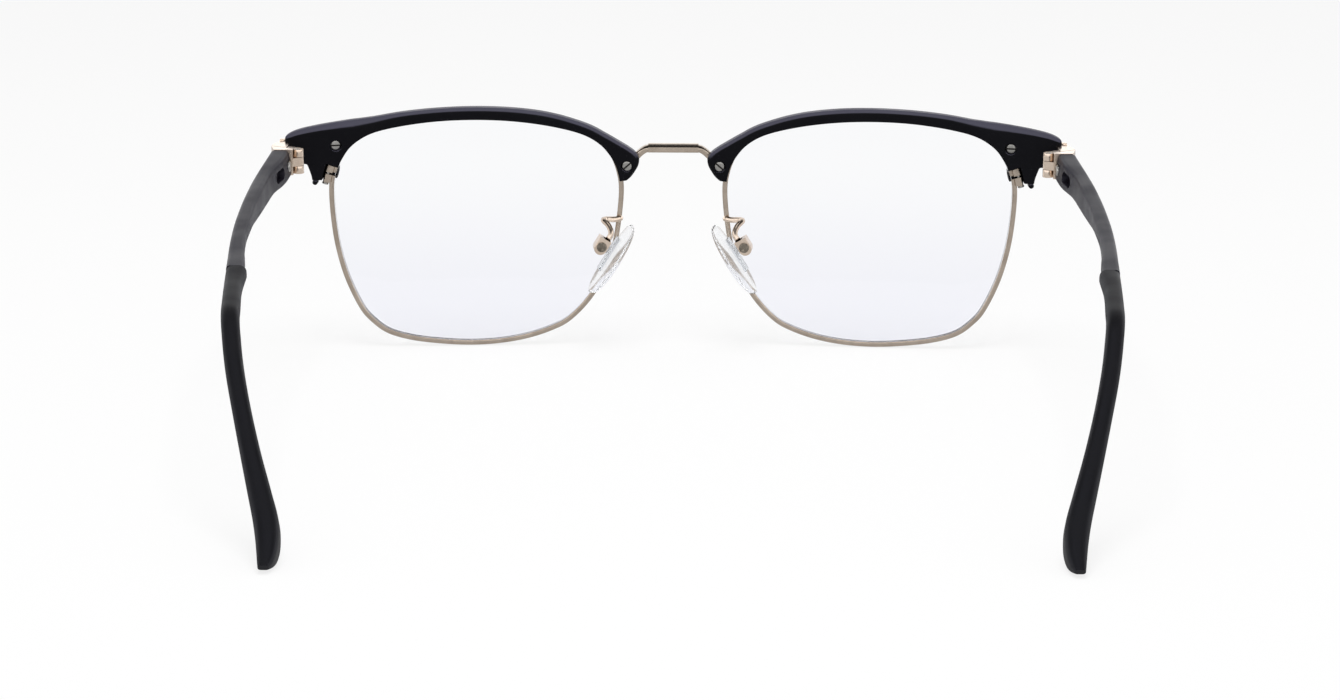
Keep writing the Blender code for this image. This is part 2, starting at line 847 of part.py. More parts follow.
def tongue_mesh(spare):
    """The flat tongue that runs outward inside the brow to the end piece's corner."""
    inner, _ = brow_screw_axis("outer")
    corner_x = hinge_place.x + end_block_reach * end_block_shares[1][0]
    steps = 5
    rings = []
    for i in range(steps + 1):
        x = inner.x - spare + (corner_x - inner.x) * i / steps
        middle = Vector((x, front_depth(x, inner.z), inner.z))
        half_high = tongue_half_height + spare
        half_deep = brow_lug_half + spare
        rings.append(strap_ring(middle, Vector((0, 0, 1)), half_high, half_deep, bridge_bevel))
    return loft(rings)


def tongue_end_mesh(spare):
    """The tongue's rounded end about the outer brow screw."""
    inner, rearward = brow_screw_axis("outer")
    half = brow_lug_half + spare
    radius = tongue_half_height + spare
    return turned(inner, rearward, ((-half, radius), (half, radius)), 20)


def to_side(mesh):
    """Moves a mesh from the tilted front to the level side of the frame, from the hinge axis."""
    bmesh.ops.transform(mesh, matrix=Matrix.Translation(-hinge_place) @ front_turn, verts=mesh.verts)
    return mesh


def to_front(mesh):
    """Moves a mesh from the hinge axis to the tilted front."""
    place = front_turn.inverted() @ Matrix.Translation(hinge_place)
    bmesh.ops.transform(mesh, matrix=place, verts=mesh.verts)
    return mesh


def end_block_mesh(spare):
    """The upright block between the tongue and the knuckles."""
    plan = [Vector(point) * end_block_reach for point in end_block_shares]
    middle = sum(plan, Vector((0, 0))) / len(plan)
    grown = [point + (point - middle).normalized() * spare * 1.5 for point in plan]
    outline = rounded_plan(grown, end_block_round_shares, end_block_round, 4)
    return prism(outline, end_block_top - end_block_height - spare, end_block_top + spare)


def knuckle_mesh(bottom, top, arm_end):
    """A round knuckle about the hinge axis with a straight arm to a plan point."""
    arm = Vector(arm_end)
    across = Vector((-arm.y, arm.x)).normalized() * knuckle_arm_half
    start_angle = math.atan2(across.y, across.x)
    steps = 12
    outline = []
    for i in range(steps + 1):
        angle = start_angle + math.pi * i / steps
        outline.append((knuckle_radius * math.cos(angle), knuckle_radius * math.sin(angle)))
    outline.append(tuple(arm - across))
    outline.append(tuple(arm + across))
    return prism(outline, bottom, top)


def hinge_levels():
    """The z of the stack's bottom, the middle knuckle's two ends, and the stack's top."""
    half_stack = knuckle_stack / 2
    half_middle = knuckle_stack * middle_knuckle_share / 2
    return -half_stack, -half_middle, half_middle, half_stack


def build_end_piece(name, hinge):
    end_piece = make(name, end_block_mesh(0), rose_gold, hinge)
    add(end_piece, to_side(tongue_mesh(0)), "tongue")
    add(end_piece, to_side(tongue_end_mesh(0)), "tongue_end")
    low, middle_low, middle_high, high = hinge_levels()
    knuckle_root = Vector(end_block_shares[6]) * end_block_reach
    arm_end = (knuckle_root.x + cut_overrun, knuckle_root.y)
    add(end_piece, knuckle_mesh(low, middle_low - running_gap, arm_end), "lower_knuckle")
    add(end_piece, knuckle_mesh(middle_high + running_gap, high, arm_end), "upper_knuckle")
    up = Vector((0, 0, 1))
    bore = hinge_screw_radius + running_gap
    seat = high - hinge_screw_head_height - head_gap
    head = hinge_screw_head_radius + running_gap
    profile = ((low - cut_overrun, bore), (seat, bore), (seat, head), (high + cut_overrun, head))
    cut(end_piece, turned(Vector(), up, profile, 16), "hinge_bore")
    screw, rearward = brow_screw_axis("outer")
    thread = brow_screw_shank_radius + seat_gap
    depth = brow_lug_half + cut_overrun
    cut(end_piece, to_side(turned(screw, rearward, ((-depth, thread), (depth, thread)), 12)), "thread")
    return end_piece


def build_hinge_screw(name, hinge):
    low, _, _, high = hinge_levels()
    seat = Vector((0, 0, high - hinge_screw_head_height))
    down = Vector((0, 0, -1))
    mesh = screw_mesh(
        seat, down, hinge_screw_head_radius, hinge_screw_head_height, hinge_screw_radius, seat.z - low, 0.2
    )
    screw = make(name, mesh, screw_steel, hinge)
    width = hinge_screw_radius / 2
    turn = math.radians(20)
    slot = slot_mesh(seat, down, hinge_screw_head_radius, hinge_screw_head_height, width, 0.5, turn)
    cut(screw, slot, "slot")


# Hinge leaf: the gold cap on the temple's front end, the middle knuckle, and the plate on its inner face

cap_thickness = 0.0019
cap_outer_share = 0.835
flange_inner_face = 0.0008
flange_thickness = 0.00038
flange_length = 0.00035
leaf_thickness = 0.00045
leaf_length = 0.0046
leaf_inner_face = 0.0023
leaf_half_height = 0.0014
temple_screw_along = 0.00145
temple_screw_head_radius = 0.0010
temple_screw_head_height = 0.00045
temple_screw_radius = 0.0005
temple_screw_length = 0.0018
temple_screw_drop = 0.00015
parting_gap = 0.00015
cap_corner_retreat = 0.00105


def cap_outline():
    """Plan of the cap behind the parting line of the end piece."""
    outer = Vector(end_block_shares[4]) * end_block_reach
    inner = Vector(end_block_shares[5]) * end_block_reach
    along = (inner - outer).normalized()
    clear = Vector((-along.y, along.x))
    if clear.y < 0:
        clear = -clear
    first = outer + clear * parting_gap
    second = inner + clear * parting_gap
    rear = second.y + cap_thickness
    corner = second.y + cap_corner_retreat
    return (
        (first.x, first.y),
        (cap_outer_share * end_block_reach, rear),
        (flange_inner_face, rear),
        (flange_inner_face, corner),
        (second.x, second.y),
    )


def build_hinge_leaf(name, hinge):
    outline = cap_outline()
    bottom = end_block_top - end_block_height
    leaf = make(name, prism(outline, bottom, end_block_top), rose_gold, hinge)
    rear = outline[1][1]
    plate = box(
        (leaf_inner_face, rear - cut_overrun, -leaf_half_height),
        (leaf_inner_face + leaf_thickness, rear + leaf_length, leaf_half_height),
        temple_turn,
    )
    add(leaf, plate, "plate")
    flange = box(
        (flange_inner_face - seat_gap / 4, rear - cut_overrun, bottom + seat_gap / 4),
        (flange_inner_face + flange_thickness, rear + flange_length, end_block_top - seat_gap / 4),
    )
    add(leaf, flange, "flange")
    _, middle_low, middle_high, _ = hinge_levels()
    arm_end = (flange_inner_face + knuckle_arm_half, outline[3][1] + knuckle_arm_half)
    add(leaf, knuckle_mesh(middle_low, middle_high, arm_end), "knuckle")
    up = Vector((0, 0, 1))
    bore = hinge_screw_radius + running_gap
    reach = knuckle_stack
    cut(leaf, turned(Vector(), up, ((-reach, bore), (reach, bore)), 16), "hinge_bore")
    hole = temple_screw_radius + seat_gap
    place = temple_turn @ temple_screw_place()
    near = leaf_inner_face - place.x
    profile = ((near - seat_gap, hole), (near + leaf_thickness + seat_gap, hole))
    cut(leaf, turned(place, Vector((1, 0, 0)), profile, 12), "screw_hole")
    return leaf


def temple_screw_place():
    along = cap_outline()[1][1] + temple_screw_along
    inner = temple_section(along / temple_length)[1]
    return Vector((inner, along, -temple_screw_drop))


def build_temple_screw(name, arm):
    across = Vector((1, 0, 0))
    mesh = screw_mesh(
        temple_screw_place() - across * seat_gap,
        across,
        temple_screw_head_radius,
        temple_screw_head_height,
        temple_screw_radius,
        temple_screw_length,
        0.5,
    )
    return make(name, mesh, screw_steel, arm)


# Temple: a bar that is deep at the hinge and slim at the tip, bowed outward along its length

temple_top = 0.00232
temple_reach = 0.00575
temple_corner = 0.0005
temple_steps = 24
# Rows: share of the length, then outer face and inner face in shares of the reach, the lower edge in
# shares of the top's height, and the lean of the inner face's lower edge in shares of the reach
temple_shares = (
    (0.0, 0.785, 0.245, -1.0, 0.08),
    (0.105, 0.865, 0.335, -1.0, 0.08),
    (0.200, 0.935, 0.515, -0.92, 0.06),
    (0.300, 0.995, 0.565, -0.86, 0.03),
    (0.380, 1.02, 0.585, -0.80, 0.0),
    (0.460, 1.035, 0.610, -0.62, 0.0),
    (0.550, 1.03, 0.610, -0.32, 0.0),
    (0.640, 1.01, 0.580, -0.10, 0.0),
    (0.740, 0.96, 0.555, -0.04, 0.0),
    (0.840, 0.885, 0.460, -0.04, 0.0),
    (0.920, 0.81, 0.335, -0.04, 0.0),
    (1.0, 0.74, 0.240, -0.04, 0.0),
)
recess_along = 0.0092
recess_half_length = 0.0014
recess_radius = 0.0010
recess_depth = 0.0005


def bevelled_ring(outer, inner, low, high, bevel, lean=0.0):
    """Corners (x, z) of a bevelled rectangle, whose inner face leans inwards towards its lower edge."""
    return (
        (outer - bevel, low),
        (outer, low + bevel),
        (outer, high - bevel),
        (outer - bevel, high),
        (inner + bevel, high),
        (inner, high - bevel),
        (inner - lean, low + bevel),
        (inner - lean + bevel, low),
    )


def temple_section(length_share):
    outer, inner, low, lean = read_table(temple_shares, length_share)
    return outer * temple_reach, inner * temple_reach, low * temple_top, lean * temple_reach


def temple_front_y():
    return cap_outline()[1][1] + seat_gap


def temple_mesh():
    first_share = cap_outline()[0][1] / temple_length
    rings = []
    for i in range(temple_steps + 1):
        length_share = first_share + (1 - first_share) * i / temple_steps
        outer, inner, low, lean = temple_section(length_share)
        corners = bevelled_ring(outer, inner, low, temple_top, temple_corner, lean)
        rings.append([Vector((x, length_share * temple_length, z)) for x, z in corners])
    return loft(rings)


def build_temple(name, arm):
    temple = make(name, temple_mesh(), matte_black, arm)
    outline = cap_outline()
    level = temple_turn.inverted()
    far = outline[1][1] + leaf_length + seat_gap
    room = leaf_half_height + seat_gap
    plate_room = box(
        (leaf_inner_face - seat_gap, 0, -room),
        (leaf_inner_face + leaf_thickness + seat_gap, far, room),
    )
    cut(temple, plate_room, "leaf_slot")
    flange_side = flange_inner_face + flange_thickness + seat_gap
    flange_end = outline[1][1] + flange_length + seat_gap
    flange_reach = end_block_height
    flange_room = box((-temple_reach, 0, -flange_reach), (flange_side, flange_end, flange_reach), level)
    cut(temple, flange_room, "flange_room")
    reach = temple_reach + cut_overrun
    front_trim = box((-reach, -reach, -reach), (reach, temple_front_y(), reach), level)
    cut(temple, front_trim, "front_trim")
    bore = temple_screw_radius + seat_gap
    depth = temple_screw_length + seat_gap
    seat = temple_screw_head_radius + seat_gap
    profile = ((-cut_overrun, seat), (0, seat), (0, bore), (depth, bore))
    cut(temple, turned(temple_screw_place(), Vector((1, 0, 0)), profile, 16), "screw_bore")
    cut(temple, recess_mesh(), "recess")
    cut(temple, core_mesh(seat_gap), "core_bore")
    return temple


def recess_mesh():
    """The oval blind recess in the temple's inner face."""
    inner = temple_section(recess_along / temple_length)[1]
    start = Vector((inner - cut_overrun, recess_along, 0))
    outline = []
    for i in range(16):
        angle = math.tau * i / 16
        shift = recess_half_length if math.cos(angle) >= 0 else -recess_half_length
        outline.append((shift + recess_radius * math.cos(angle), recess_radius * math.sin(angle)))
    rings = []
    for deep in (0, cut_overrun + recess_depth):
        rings.append([start + Vector((deep, along, up)) for along, up in outline])
    return loft(rings)


# Tip: a sleeve over the core wire that bends down behind the ear and thickens to a rounded end

tip_bend_along = 0.0880
tip_bend_radius = 0.0100
tip_width = 0.0030
tip_height = 0.0050
tip_corner_share = 0.3
tip_steps = 30
# Rows: share of the tip's length, outer and inner face in shares of the temple's reach, and the
# height of the section in shares of the tip's height
tip_shares = (
    (0.0, 0.74, 0.175, 0.55),
    (0.12, 0.63, 0.14, 0.56),
    (0.25, 0.50, 0.0, 0.60),
    (0.34, 0.40, -0.09, 0.64),
    (0.42, 0.28, -0.205, 0.70),
    (0.50, 0.12, -0.375, 0.76),
    (0.60, -0.135, -0.64, 0.84),
    (0.70, -0.40, -0.945, 0.92),
    (0.80, -0.67, -1.29, 1.0),
    (0.87, -0.86, -1.52, 1.02),
    (0.92, -0.97, -1.58, 0.97),
    (0.96, -1.05, -1.51, 0.80),
    (0.985, -1.10, -1.38, 0.52),
    (1.0, -1.14, -1.26, 0.25),
)
core_radius = 0.0005
core_start_share = 0.67
core_temple_end_share = 0.96
core_end_share = 0.62
core_temple_steps = 6
core_tip_steps = 16


def tip_middle(along, bend):
    """Height-plane place and direction of the tip's top edge, at a length from the hinge."""
    arc = tip_bend_radius * bend
    arc_start = tip_bend_along - arc / 2
    if along <= arc_start:
        return Vector((along, temple_top)), 0.0
    if along <= arc_start + arc:
        turn = (along - arc_start) / tip_bend_radius
    else:
        turn = bend
    y = arc_start + tip_bend_radius * math.sin(turn)
    z = temple_top - tip_bend_radius * (1 - math.cos(turn))
    past = max(0.0, along - arc_start - arc)
    return Vector((y + past * math.cos(turn), z - past * math.sin(turn))), turn


def tip_ring(tip_share, bend):
    """The tip's section at a share of its length, in the temple's own axes."""
    outer, inner, high = read_table(tip_shares, tip_share)
    along = temple_length + seat_gap + tip_share * tip_length
    edge, turn = tip_middle(along, bend)
    height = high * tip_height
    outer_x = outer * temple_reach
    inner_x = inner * temple_reach
    bevel = tip_corner_share * min(height, outer_x - inner_x)
    ring = []
    for x, z in bevelled_ring(outer_x, inner_x, -height, 0, bevel):
        ring.append(Vector((x, edge.x + z * math.sin(turn), edge.y + z * math.cos(turn))))
    return ring


def tip_rings(bend):
    return [tip_ring(i / tip_steps, bend) for i in range(tip_steps + 1)]


def lowest_rim():
    """How low the eyewire reaches in the level frame, from the middle of the lenses."""
    lowest = 0.0
    for i in range(lens_steps):
        for behind in (-rim_half_width, rim_half_width):
            place = front_turn @ on_front(i / lens_steps, rim_outer_rise, behind)
            lowest = min(lowest, place.z)
    return lowest


def lowest_tip(bend):
    points = [temple_turn @ point for ring in tip_rings(bend) for point in ring]
    return min(point.z for point in points) + hinge_place.z


def standing_bend():
    """The bend that brings the tip down to the plane that the eyewires stand on."""
    target = lowest_rim()
    low_bend = 0.0
    high_bend = math.radians(80)
    for _ in range(40):
        middle = (low_bend + high_bend) / 2
        if lowest_tip(middle) > target:
            low_bend = middle
        else:
            high_bend = middle
    return low_bend


tip_bend = standing_bend()
print("tip bend", round(math.degrees(tip_bend), 2), "degrees")


def core_mesh(spare):
    """The wire through the middle of the temple's rear end and of the tip, grown by a spare gap."""
    path = []
    for i in range(core_temple_steps):
        share = core_start_share + (core_temple_end_share - core_start_share) * i / (core_temple_steps - 1)
        outer, inner, low, _ = temple_section(share)
        path.append(Vector(((outer + inner) / 2, share * temple_length, (temple_top + low) / 2)))
    for i in range(1, core_tip_steps + 1):
        ring = tip_ring(core_end_share * i / core_tip_steps, tip_bend)
        path.append(sum(ring, Vector()) / len(ring))
    first_way = (path[0] - path[1]).normalized()
    last_way = (path[-1] - path[-2]).normalized()
    path[0] = path[0] + first_way * spare
    path[-1] = path[-1] + last_way * spare
    return tube(path, core_radius + spare, 8)


def build_tip(name, arm):
    tip = make(name, loft(tip_rings(tip_bend)), soft_black, arm)
    cut(tip, core_mesh(seat_gap), "core_bore")
    return tip


def build_core(name, arm):
    return make(name, core_mesh(0), screw_steel, arm)


# Nose pad: a domed silicone pad on a stiff mount whose ear sits in the box of the pad arm

pad_box_beyond_lens_edge = 0.00337
pad_box_behind_front = 0.0058
pad_box_drop = 0.00185
pad_box_place = Vector((lens_gap / 2 + pad_box_beyond_lens_edge, pad_box_behind_front, -pad_box_drop))
pad_lean = math.radians(32)
pad_splay = math.radians(8)
pad_length = 0.0143
pad_width = 0.0074
pad_dome = 0.0013
pad_edge = 0.0009
pad_stand_off = 0.0023
pad_drop = 0.00115
pad_sides = 24
mount_length = 0.0066
mount_width = 0.0024
mount_thickness = 0.00045
ear_half = 0.00045
ear_radius = 0.00085
neck_share = 0.55
box_half_along = 0.00145
box_round_steps = 10
box_half_across = 0.00108
box_half_deep = 0.0012
pad_screw_radius = 0.00036
pad_screw_head_radius = 0.00090
pad_screw_head_height = 0.0003

# Axes of the pad: along its length, out to the nose, and across its width
pad_turn = Matrix.Rotation(-pad_lean, 4, "Y") @ Matrix.Rotation(pad_splay, 4, "Z")
pad_place = Matrix.Translation(pad_box_place) @ pad_turn


def pad_outline(scale):
    """The pad's egg outline as (along, across) points, wider at the lower end."""
    points = []
    for i in range(pad_sides):
        angle = math.tau * i / pad_sides
        along = math.sin(angle) * pad_length / 2
        fullness = 1 - 0.14 * math.sin(angle)
        points.append((along * scale, math.cos(angle) * pad_width / 2 * fullness * scale))
    return points


def pad_mesh():
    back = -pad_stand_off
    edge_end = back - pad_edge
    levels = ((back, 0.90), (back - pad_edge / 2, 1.0), (edge_end, 0.97), (edge_end - pad_dome * 0.7, 0.66))
    rings = []
    for x, scale in levels:
        outline = pad_outline(scale)
        rings.append([pad_place @ Vector((x, across, along - pad_drop)) for along, across in outline])
    pole = pad_place @ Vector((back - pad_edge - pad_dome, 0, -pad_drop))
    return loft(rings, None, pole)


def build_pad(name, pivot):
    shift = Matrix.Translation(-pad_box_place)
    mesh = pad_mesh()
    bmesh.ops.transform(mesh, matrix=shift, verts=mesh.verts)
    return make(name, mesh, clear_silicone, pivot)


def build_pad_mount(name, pivot):
    """The plate behind the pad with the ear that the pad screw goes through."""
    plate_far = -pad_stand_off + seat_gap
    plate_near = plate_far + mount_thickness
    half_long = mount_length / 2
    half_wide = mount_width / 2
    plate = box(
        (plate_far, -half_wide, -half_long - pad_drop / 2),
        (plate_near, half_wide, half_long - pad_drop / 2),
        pad_turn,
    )
    mount = make(name, plate, clear_core, pivot)
    steps = 10
    neck = ear_radius * neck_share
    outline = [(plate_far + mount_thickness / 2, neck)]
    for i in range(steps + 1):
        angle = math.pi / 2 - math.pi * i / steps
        outline.append((ear_radius * math.cos(angle), ear_radius * math.sin(angle)))
    outline.append((plate_far + mount_thickness / 2, -neck))
    rings = [[pad_turn @ Vector((x, y, z)) for x, z in outline] for y in (-ear_half, ear_half)]
    add(mount, loft(rings), "ear")
    back = pad_turn @ Vector((0, 1, 0))
    bore = pad_screw_radius + running_gap
    reach = ear_half + cut_overrun
    cut(mount, turned(Vector(), back, ((-reach, bore), (reach, bore)), 12), "ear_bore")
    return mount


# Pad arm: a wire from the back of the eyewire, looped towards the temple, then down to the box

arm_radius = 0.00046
arm_root_rise = 0.0042
arm_root_search_shares = (0.5, 0.605)
solder_gap = 0.00003
# Loop of the arm from its root towards the box, in shares of the way across, back and down
arm_loop_shares = (
    (0.0, 0.0, 0.0),
    (0.0, 0.08, 0.0),
    (0.30, 0.24, 0.02),
    (0.74, 0.42, -0.02),
    (0.87, 0.60, 0.0),
    (0.60, 0.80, 0.18),
    (0.46, 0.93, 0.42),
)
# Its last points, in shares of the box's half sizes across and along
arm_entry_shares = ((-0.48, 1.55), (-0.4, 0.85))


def arm_root():
    """The place behind the nasal run of the eyewire, a set height above the pad's box."""
    lower, upper = arm_root_search_shares
    for _ in range(30):
        middle = (lower + upper) / 2
        if outline_at(middle)[0].y < pad_box_place.z + arm_root_rise:
            lower = middle
        else:
            upper = middle
    return on_front(lower, rim_outer_rise / 2, rim_half_width + solder_gap)


def build_pad_arm(name, front):
    root = arm_root()
    reach = pad_box_place - root
    given = []
    for across, back, down in arm_loop_shares:
        given.append((root.x + reach.x * across, root.y + reach.y * back, root.z + reach.z * down))
    for across, along in arm_entry_shares:
        given.append(tuple(pad_place @ Vector((across * box_half_across, 0, along * box_half_along))))
    arm = make(name, tube(smooth_points(given, 3), arm_radius, 8), rose_gold, front)
    outline = [(-box_half_across, box_half_along), (box_half_across, box_half_along)]
    for i in range(box_round_steps + 1):
        angle = -math.pi * i / box_round_steps
        low = box_half_across - box_half_along
        outline.append((box_half_across * math.cos(angle), low + box_half_across * math.sin(angle)))
    rings = [[pad_place @ Vector((x, y, z)) for x, z in outline] for y in (-box_half_deep, box_half_deep)]
    add(arm, loft(rings), "box")
    room = ear_half + running_gap
    slot = box(
        (-box_half_across - cut_overrun, -room, -box_half_along - cut_overrun),
        (ear_radius + running_gap, room, ear_radius + running_gap),
        pad_place,
    )
    cut(arm, slot, "slot")
    back = pad_turn @ Vector((0, 1, 0))
    bore = pad_screw_radius + running_gap
    reach = box_half_deep + cut_overrun
    cut(arm, turned(pad_box_place, back, ((-reach, bore), (reach, bore)), 12), "screw_bore")
    return arm


def build_pad_screw(name, front):
    back = pad_turn @ Vector((0, 1, 0))
    seat = pad_box_place + back * (box_half_deep + seat_gap)
    length = 2 * box_half_deep
    mesh = screw_mesh(
        seat, -back, pad_screw_head_radius, pad_screw_head_height, pad_screw_radius, length, 0.3
    )
    screw = make(name, mesh, screw_steel, front)
    for i, label in enumerate(("slot", "cross")):
        turn = math.radians(30) + i * math.pi / 2
        slot = slot_mesh(
            seat, -back, pad_screw_head_radius, pad_screw_head_height, pad_screw_radius * 0.6, 0.5, turn
        )
        cut(screw, slot, label)


# Lock screw


def build_lock_screw(name, front):
    middle, down = lock_axis()
    block_foot = on_front(lock_half_gap_share + lock_lower_share, lock_screw_rise, lock_screw_behind)
    reach = (block_foot - middle).dot(down) + seat_gap
    length = reach + way_length(lock_half_gap_share + lock_upper_share) * lock_screw_depth_share
    seat = middle + down * reach
    mesh = screw_mesh(
        seat,
        -down,
        lock_screw_head_radius,
        lock_screw_head_height,
        lock_screw_radius,
        length,
        0.2,
        12,
    )
    make(name, mesh, screw_steel, front)


# Assembly

front = empty("front", stand, turn_about_x=lens_tilt)
build_bridge(front)

for label, parents in sides.items():
    side_front = parents["front"]
    make(label + "_lens", lens_mesh(), clear_lens, side_front)
    build_rim(label + "_eyewire", side_front)
    build_brow(label + "_brow", side_front)
    build_brow_screws(label, side_front)
    build_lock_screw(label + "_lock_screw", side_front)
    build_pad_arm(label + "_pad_arm", side_front)
    build_pad_screw(label + "_pad_screw", side_front)
    pad_pivot = empty(label + "_pad_pivot", side_front, location=pad_box_place)
    build_pad(label + "_nose_pad", pad_pivot)
    build_pad_mount(label + "_pad_mount", pad_pivot)
    hinge_pivot = empty(label + "_hinge_pivot", parents["side"], location=hinge_place)
    build_end_piece(label + "_end_piece", hinge_pivot)
    build_hinge_screw(label + "_hinge_screw", hinge_pivot)
    build_hinge_leaf(label + "_hinge_leaf", hinge_pivot)
    temple_arm = empty(label + "_temple_arm", hinge_pivot, turn_about_x=-temple_slope)
    build_temple_screw(label + "_temple_screw", temple_arm)
    build_temple(label + "_temple", temple_arm)
    build_tip(label + "_temple_tip", temple_arm)
    build_core(label + "_core_wire", temple_arm)


def stand_on_table():
    """Moves the stand so that the bottom middle of the whole object is the origin."""
    bpy.context.view_layer.update()
    graph = bpy.context.evaluated_depsgraph_get()
    corners = []
    for obj in bpy.context.scene.objects:
        if obj.type == "MESH" and not obj.hide_render:
            evaluated = obj.evaluated_get(graph)
            corners += [evaluated.matrix_world @ vertex.co for vertex in evaluated.data.vertices]
    ys = [corner.y for corner in corners]
    stand.location = (0, -(min(ys) + max(ys)) / 2, -min(corner.z for corner in corners))


def print_place(label, place, way):
    at = [round(value, 6) for value in stand.location + place]
    print(label, "at", at, "axis", [round(value, 6) for value in way])


stand_on_table()
print_place("left temple hinge", hinge_place, Vector((0, 0, 1)))
pad_axis = pad_turn @ Vector((0, 1, 0))
print_place("left pad screw", front_turn @ pad_box_place, front_turn.to_3x3() @ pad_axis)
bridge_top_depth = (bridge_bar_rear - bridge_bar_front - bridge_chamfer_depth) / 2
bridge_top = Vector((0, bridge_top_depth, bridge_bar_z + bridge_bar_height / 2))
print_place("bridge top", front_turn @ bridge_top, front_turn.to_3x3() @ Vector((0, 0, 1)))
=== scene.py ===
"""Browline spectacles on a pale table, seen from behind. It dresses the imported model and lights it."""

import json
import math

import bmesh
import bpy
from mathutils import Matrix, Vector


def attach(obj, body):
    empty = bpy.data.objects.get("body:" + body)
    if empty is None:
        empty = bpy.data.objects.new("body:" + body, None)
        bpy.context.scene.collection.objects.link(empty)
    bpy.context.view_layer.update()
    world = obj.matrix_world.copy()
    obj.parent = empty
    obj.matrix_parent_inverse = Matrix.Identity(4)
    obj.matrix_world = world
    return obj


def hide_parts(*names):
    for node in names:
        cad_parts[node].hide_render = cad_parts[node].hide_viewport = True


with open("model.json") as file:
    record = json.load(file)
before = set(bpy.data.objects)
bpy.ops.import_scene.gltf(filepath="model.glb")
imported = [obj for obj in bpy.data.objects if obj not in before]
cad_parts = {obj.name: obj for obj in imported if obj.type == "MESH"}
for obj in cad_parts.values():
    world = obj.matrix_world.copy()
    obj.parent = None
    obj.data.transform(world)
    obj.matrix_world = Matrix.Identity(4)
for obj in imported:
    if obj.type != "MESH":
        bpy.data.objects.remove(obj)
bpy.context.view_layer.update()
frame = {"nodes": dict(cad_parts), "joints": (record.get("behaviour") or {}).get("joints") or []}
nodes = frame["nodes"]
sides = ("left", "right")

# Eyewires
# The real piece is a thin C-section wire, bent round the lens, with two closing blocks soldered on.
# It is nickel silver with a pale rose-gold plating, polished, and held shut by the rim lock screw.

rose_pale = (0.55, 0.47, 0.395, 1)
rose_warm = (0.44, 0.37, 0.305, 1)
plating_roughness = (0.12, 0.22)
plating_cloud_scale = 420
plating_draw_scale = 5200
plating_cloud_detail = 4
plating_mark_detail = 2
plating_mark_stretch = (1, 1, 0.3)
plating_mark_strength = 0.35
plating_bump = 0.00001
wire_crease = math.radians(34)
noise_low = 0.3
noise_high = 0.7
joined_distance = 0.000002
flat_angle = math.radians(1.0)
edge_rounds = 2
flat_face_weight = 60


def new_material(name):
    """An empty node material with its Principled shader, ready for wiring."""
    material = bpy.data.materials.new(name)
    material.use_nodes = True
    return material, material.node_tree, material.node_tree.nodes["Principled BSDF"]


def place_on_piece(tree, scale):
    """The place on the piece itself, stretched by a scale along each axis."""
    place = tree.nodes.new("ShaderNodeTexCoord")
    mapping = tree.nodes.new("ShaderNodeMapping")
    mapping.inputs["Scale"].default_value = scale
    tree.links.new(place.outputs["Object"], mapping.inputs["Vector"])
    return mapping.outputs["Vector"]


def cloud(tree, scale, detail, stretch=(1, 1, 1)):
    """Noise from 0 to 1 with features of 1 / scale metres."""
    noise = tree.nodes.new("ShaderNodeTexNoise")
    noise.inputs["Scale"].default_value = scale
    noise.inputs["Detail"].default_value = detail
    tree.links.new(place_on_piece(tree, stretch), noise.inputs["Vector"])
    return noise.outputs["Fac"]


def between(tree, value, low, high):
    """Turns the usual span of noise into a number from low to high."""
    spread = tree.nodes.new("ShaderNodeMapRange")
    spread.inputs["From Min"].default_value = noise_low
    spread.inputs["From Max"].default_value = noise_high
    spread.inputs["To Min"].default_value = low
    spread.inputs["To Max"].default_value = high
    tree.links.new(value, spread.inputs["Value"])
    return spread.outputs["Result"]


def shaded(tree, value, first, second):
    """A colour that goes from the first to the second over the usual span of noise."""
    ramp = tree.nodes.new("ShaderNodeValToRGB")
    ramp.color_ramp.elements[0].position = noise_low
    ramp.color_ramp.elements[1].position = noise_high
    ramp.color_ramp.elements[0].color = first
    ramp.color_ramp.elements[1].color = second
    tree.links.new(value, ramp.inputs["Fac"])
    return ramp.outputs["Color"]


def relief(tree, height, depth, strength):
    """A surface direction that leans with the height."""
    bump = tree.nodes.new("ShaderNodeBump")
    bump.inputs["Distance"].default_value = depth
    bump.inputs["Strength"].default_value = strength
    tree.links.new(height, bump.inputs["Height"])
    return bump.outputs["Normal"]


def plated_metal(name, first, second, roughness):
    """Thin plating over a worked base: slight colour clouds, and fine marks from drawing and polishing."""
    material, tree, shader = new_material(name)
    shader.inputs["Metallic"].default_value = 1.0
    clouds = cloud(tree, plating_cloud_scale, plating_cloud_detail)
    marks = cloud(tree, plating_draw_scale, plating_mark_detail, plating_mark_stretch)
    tree.links.new(shaded(tree, clouds, first, second), shader.inputs["Base Color"])
    tree.links.new(between(tree, marks, *roughness), shader.inputs["Roughness"])
    tree.links.new(relief(tree, marks, plating_bump, plating_mark_strength), shader.inputs["Normal"])
    return material


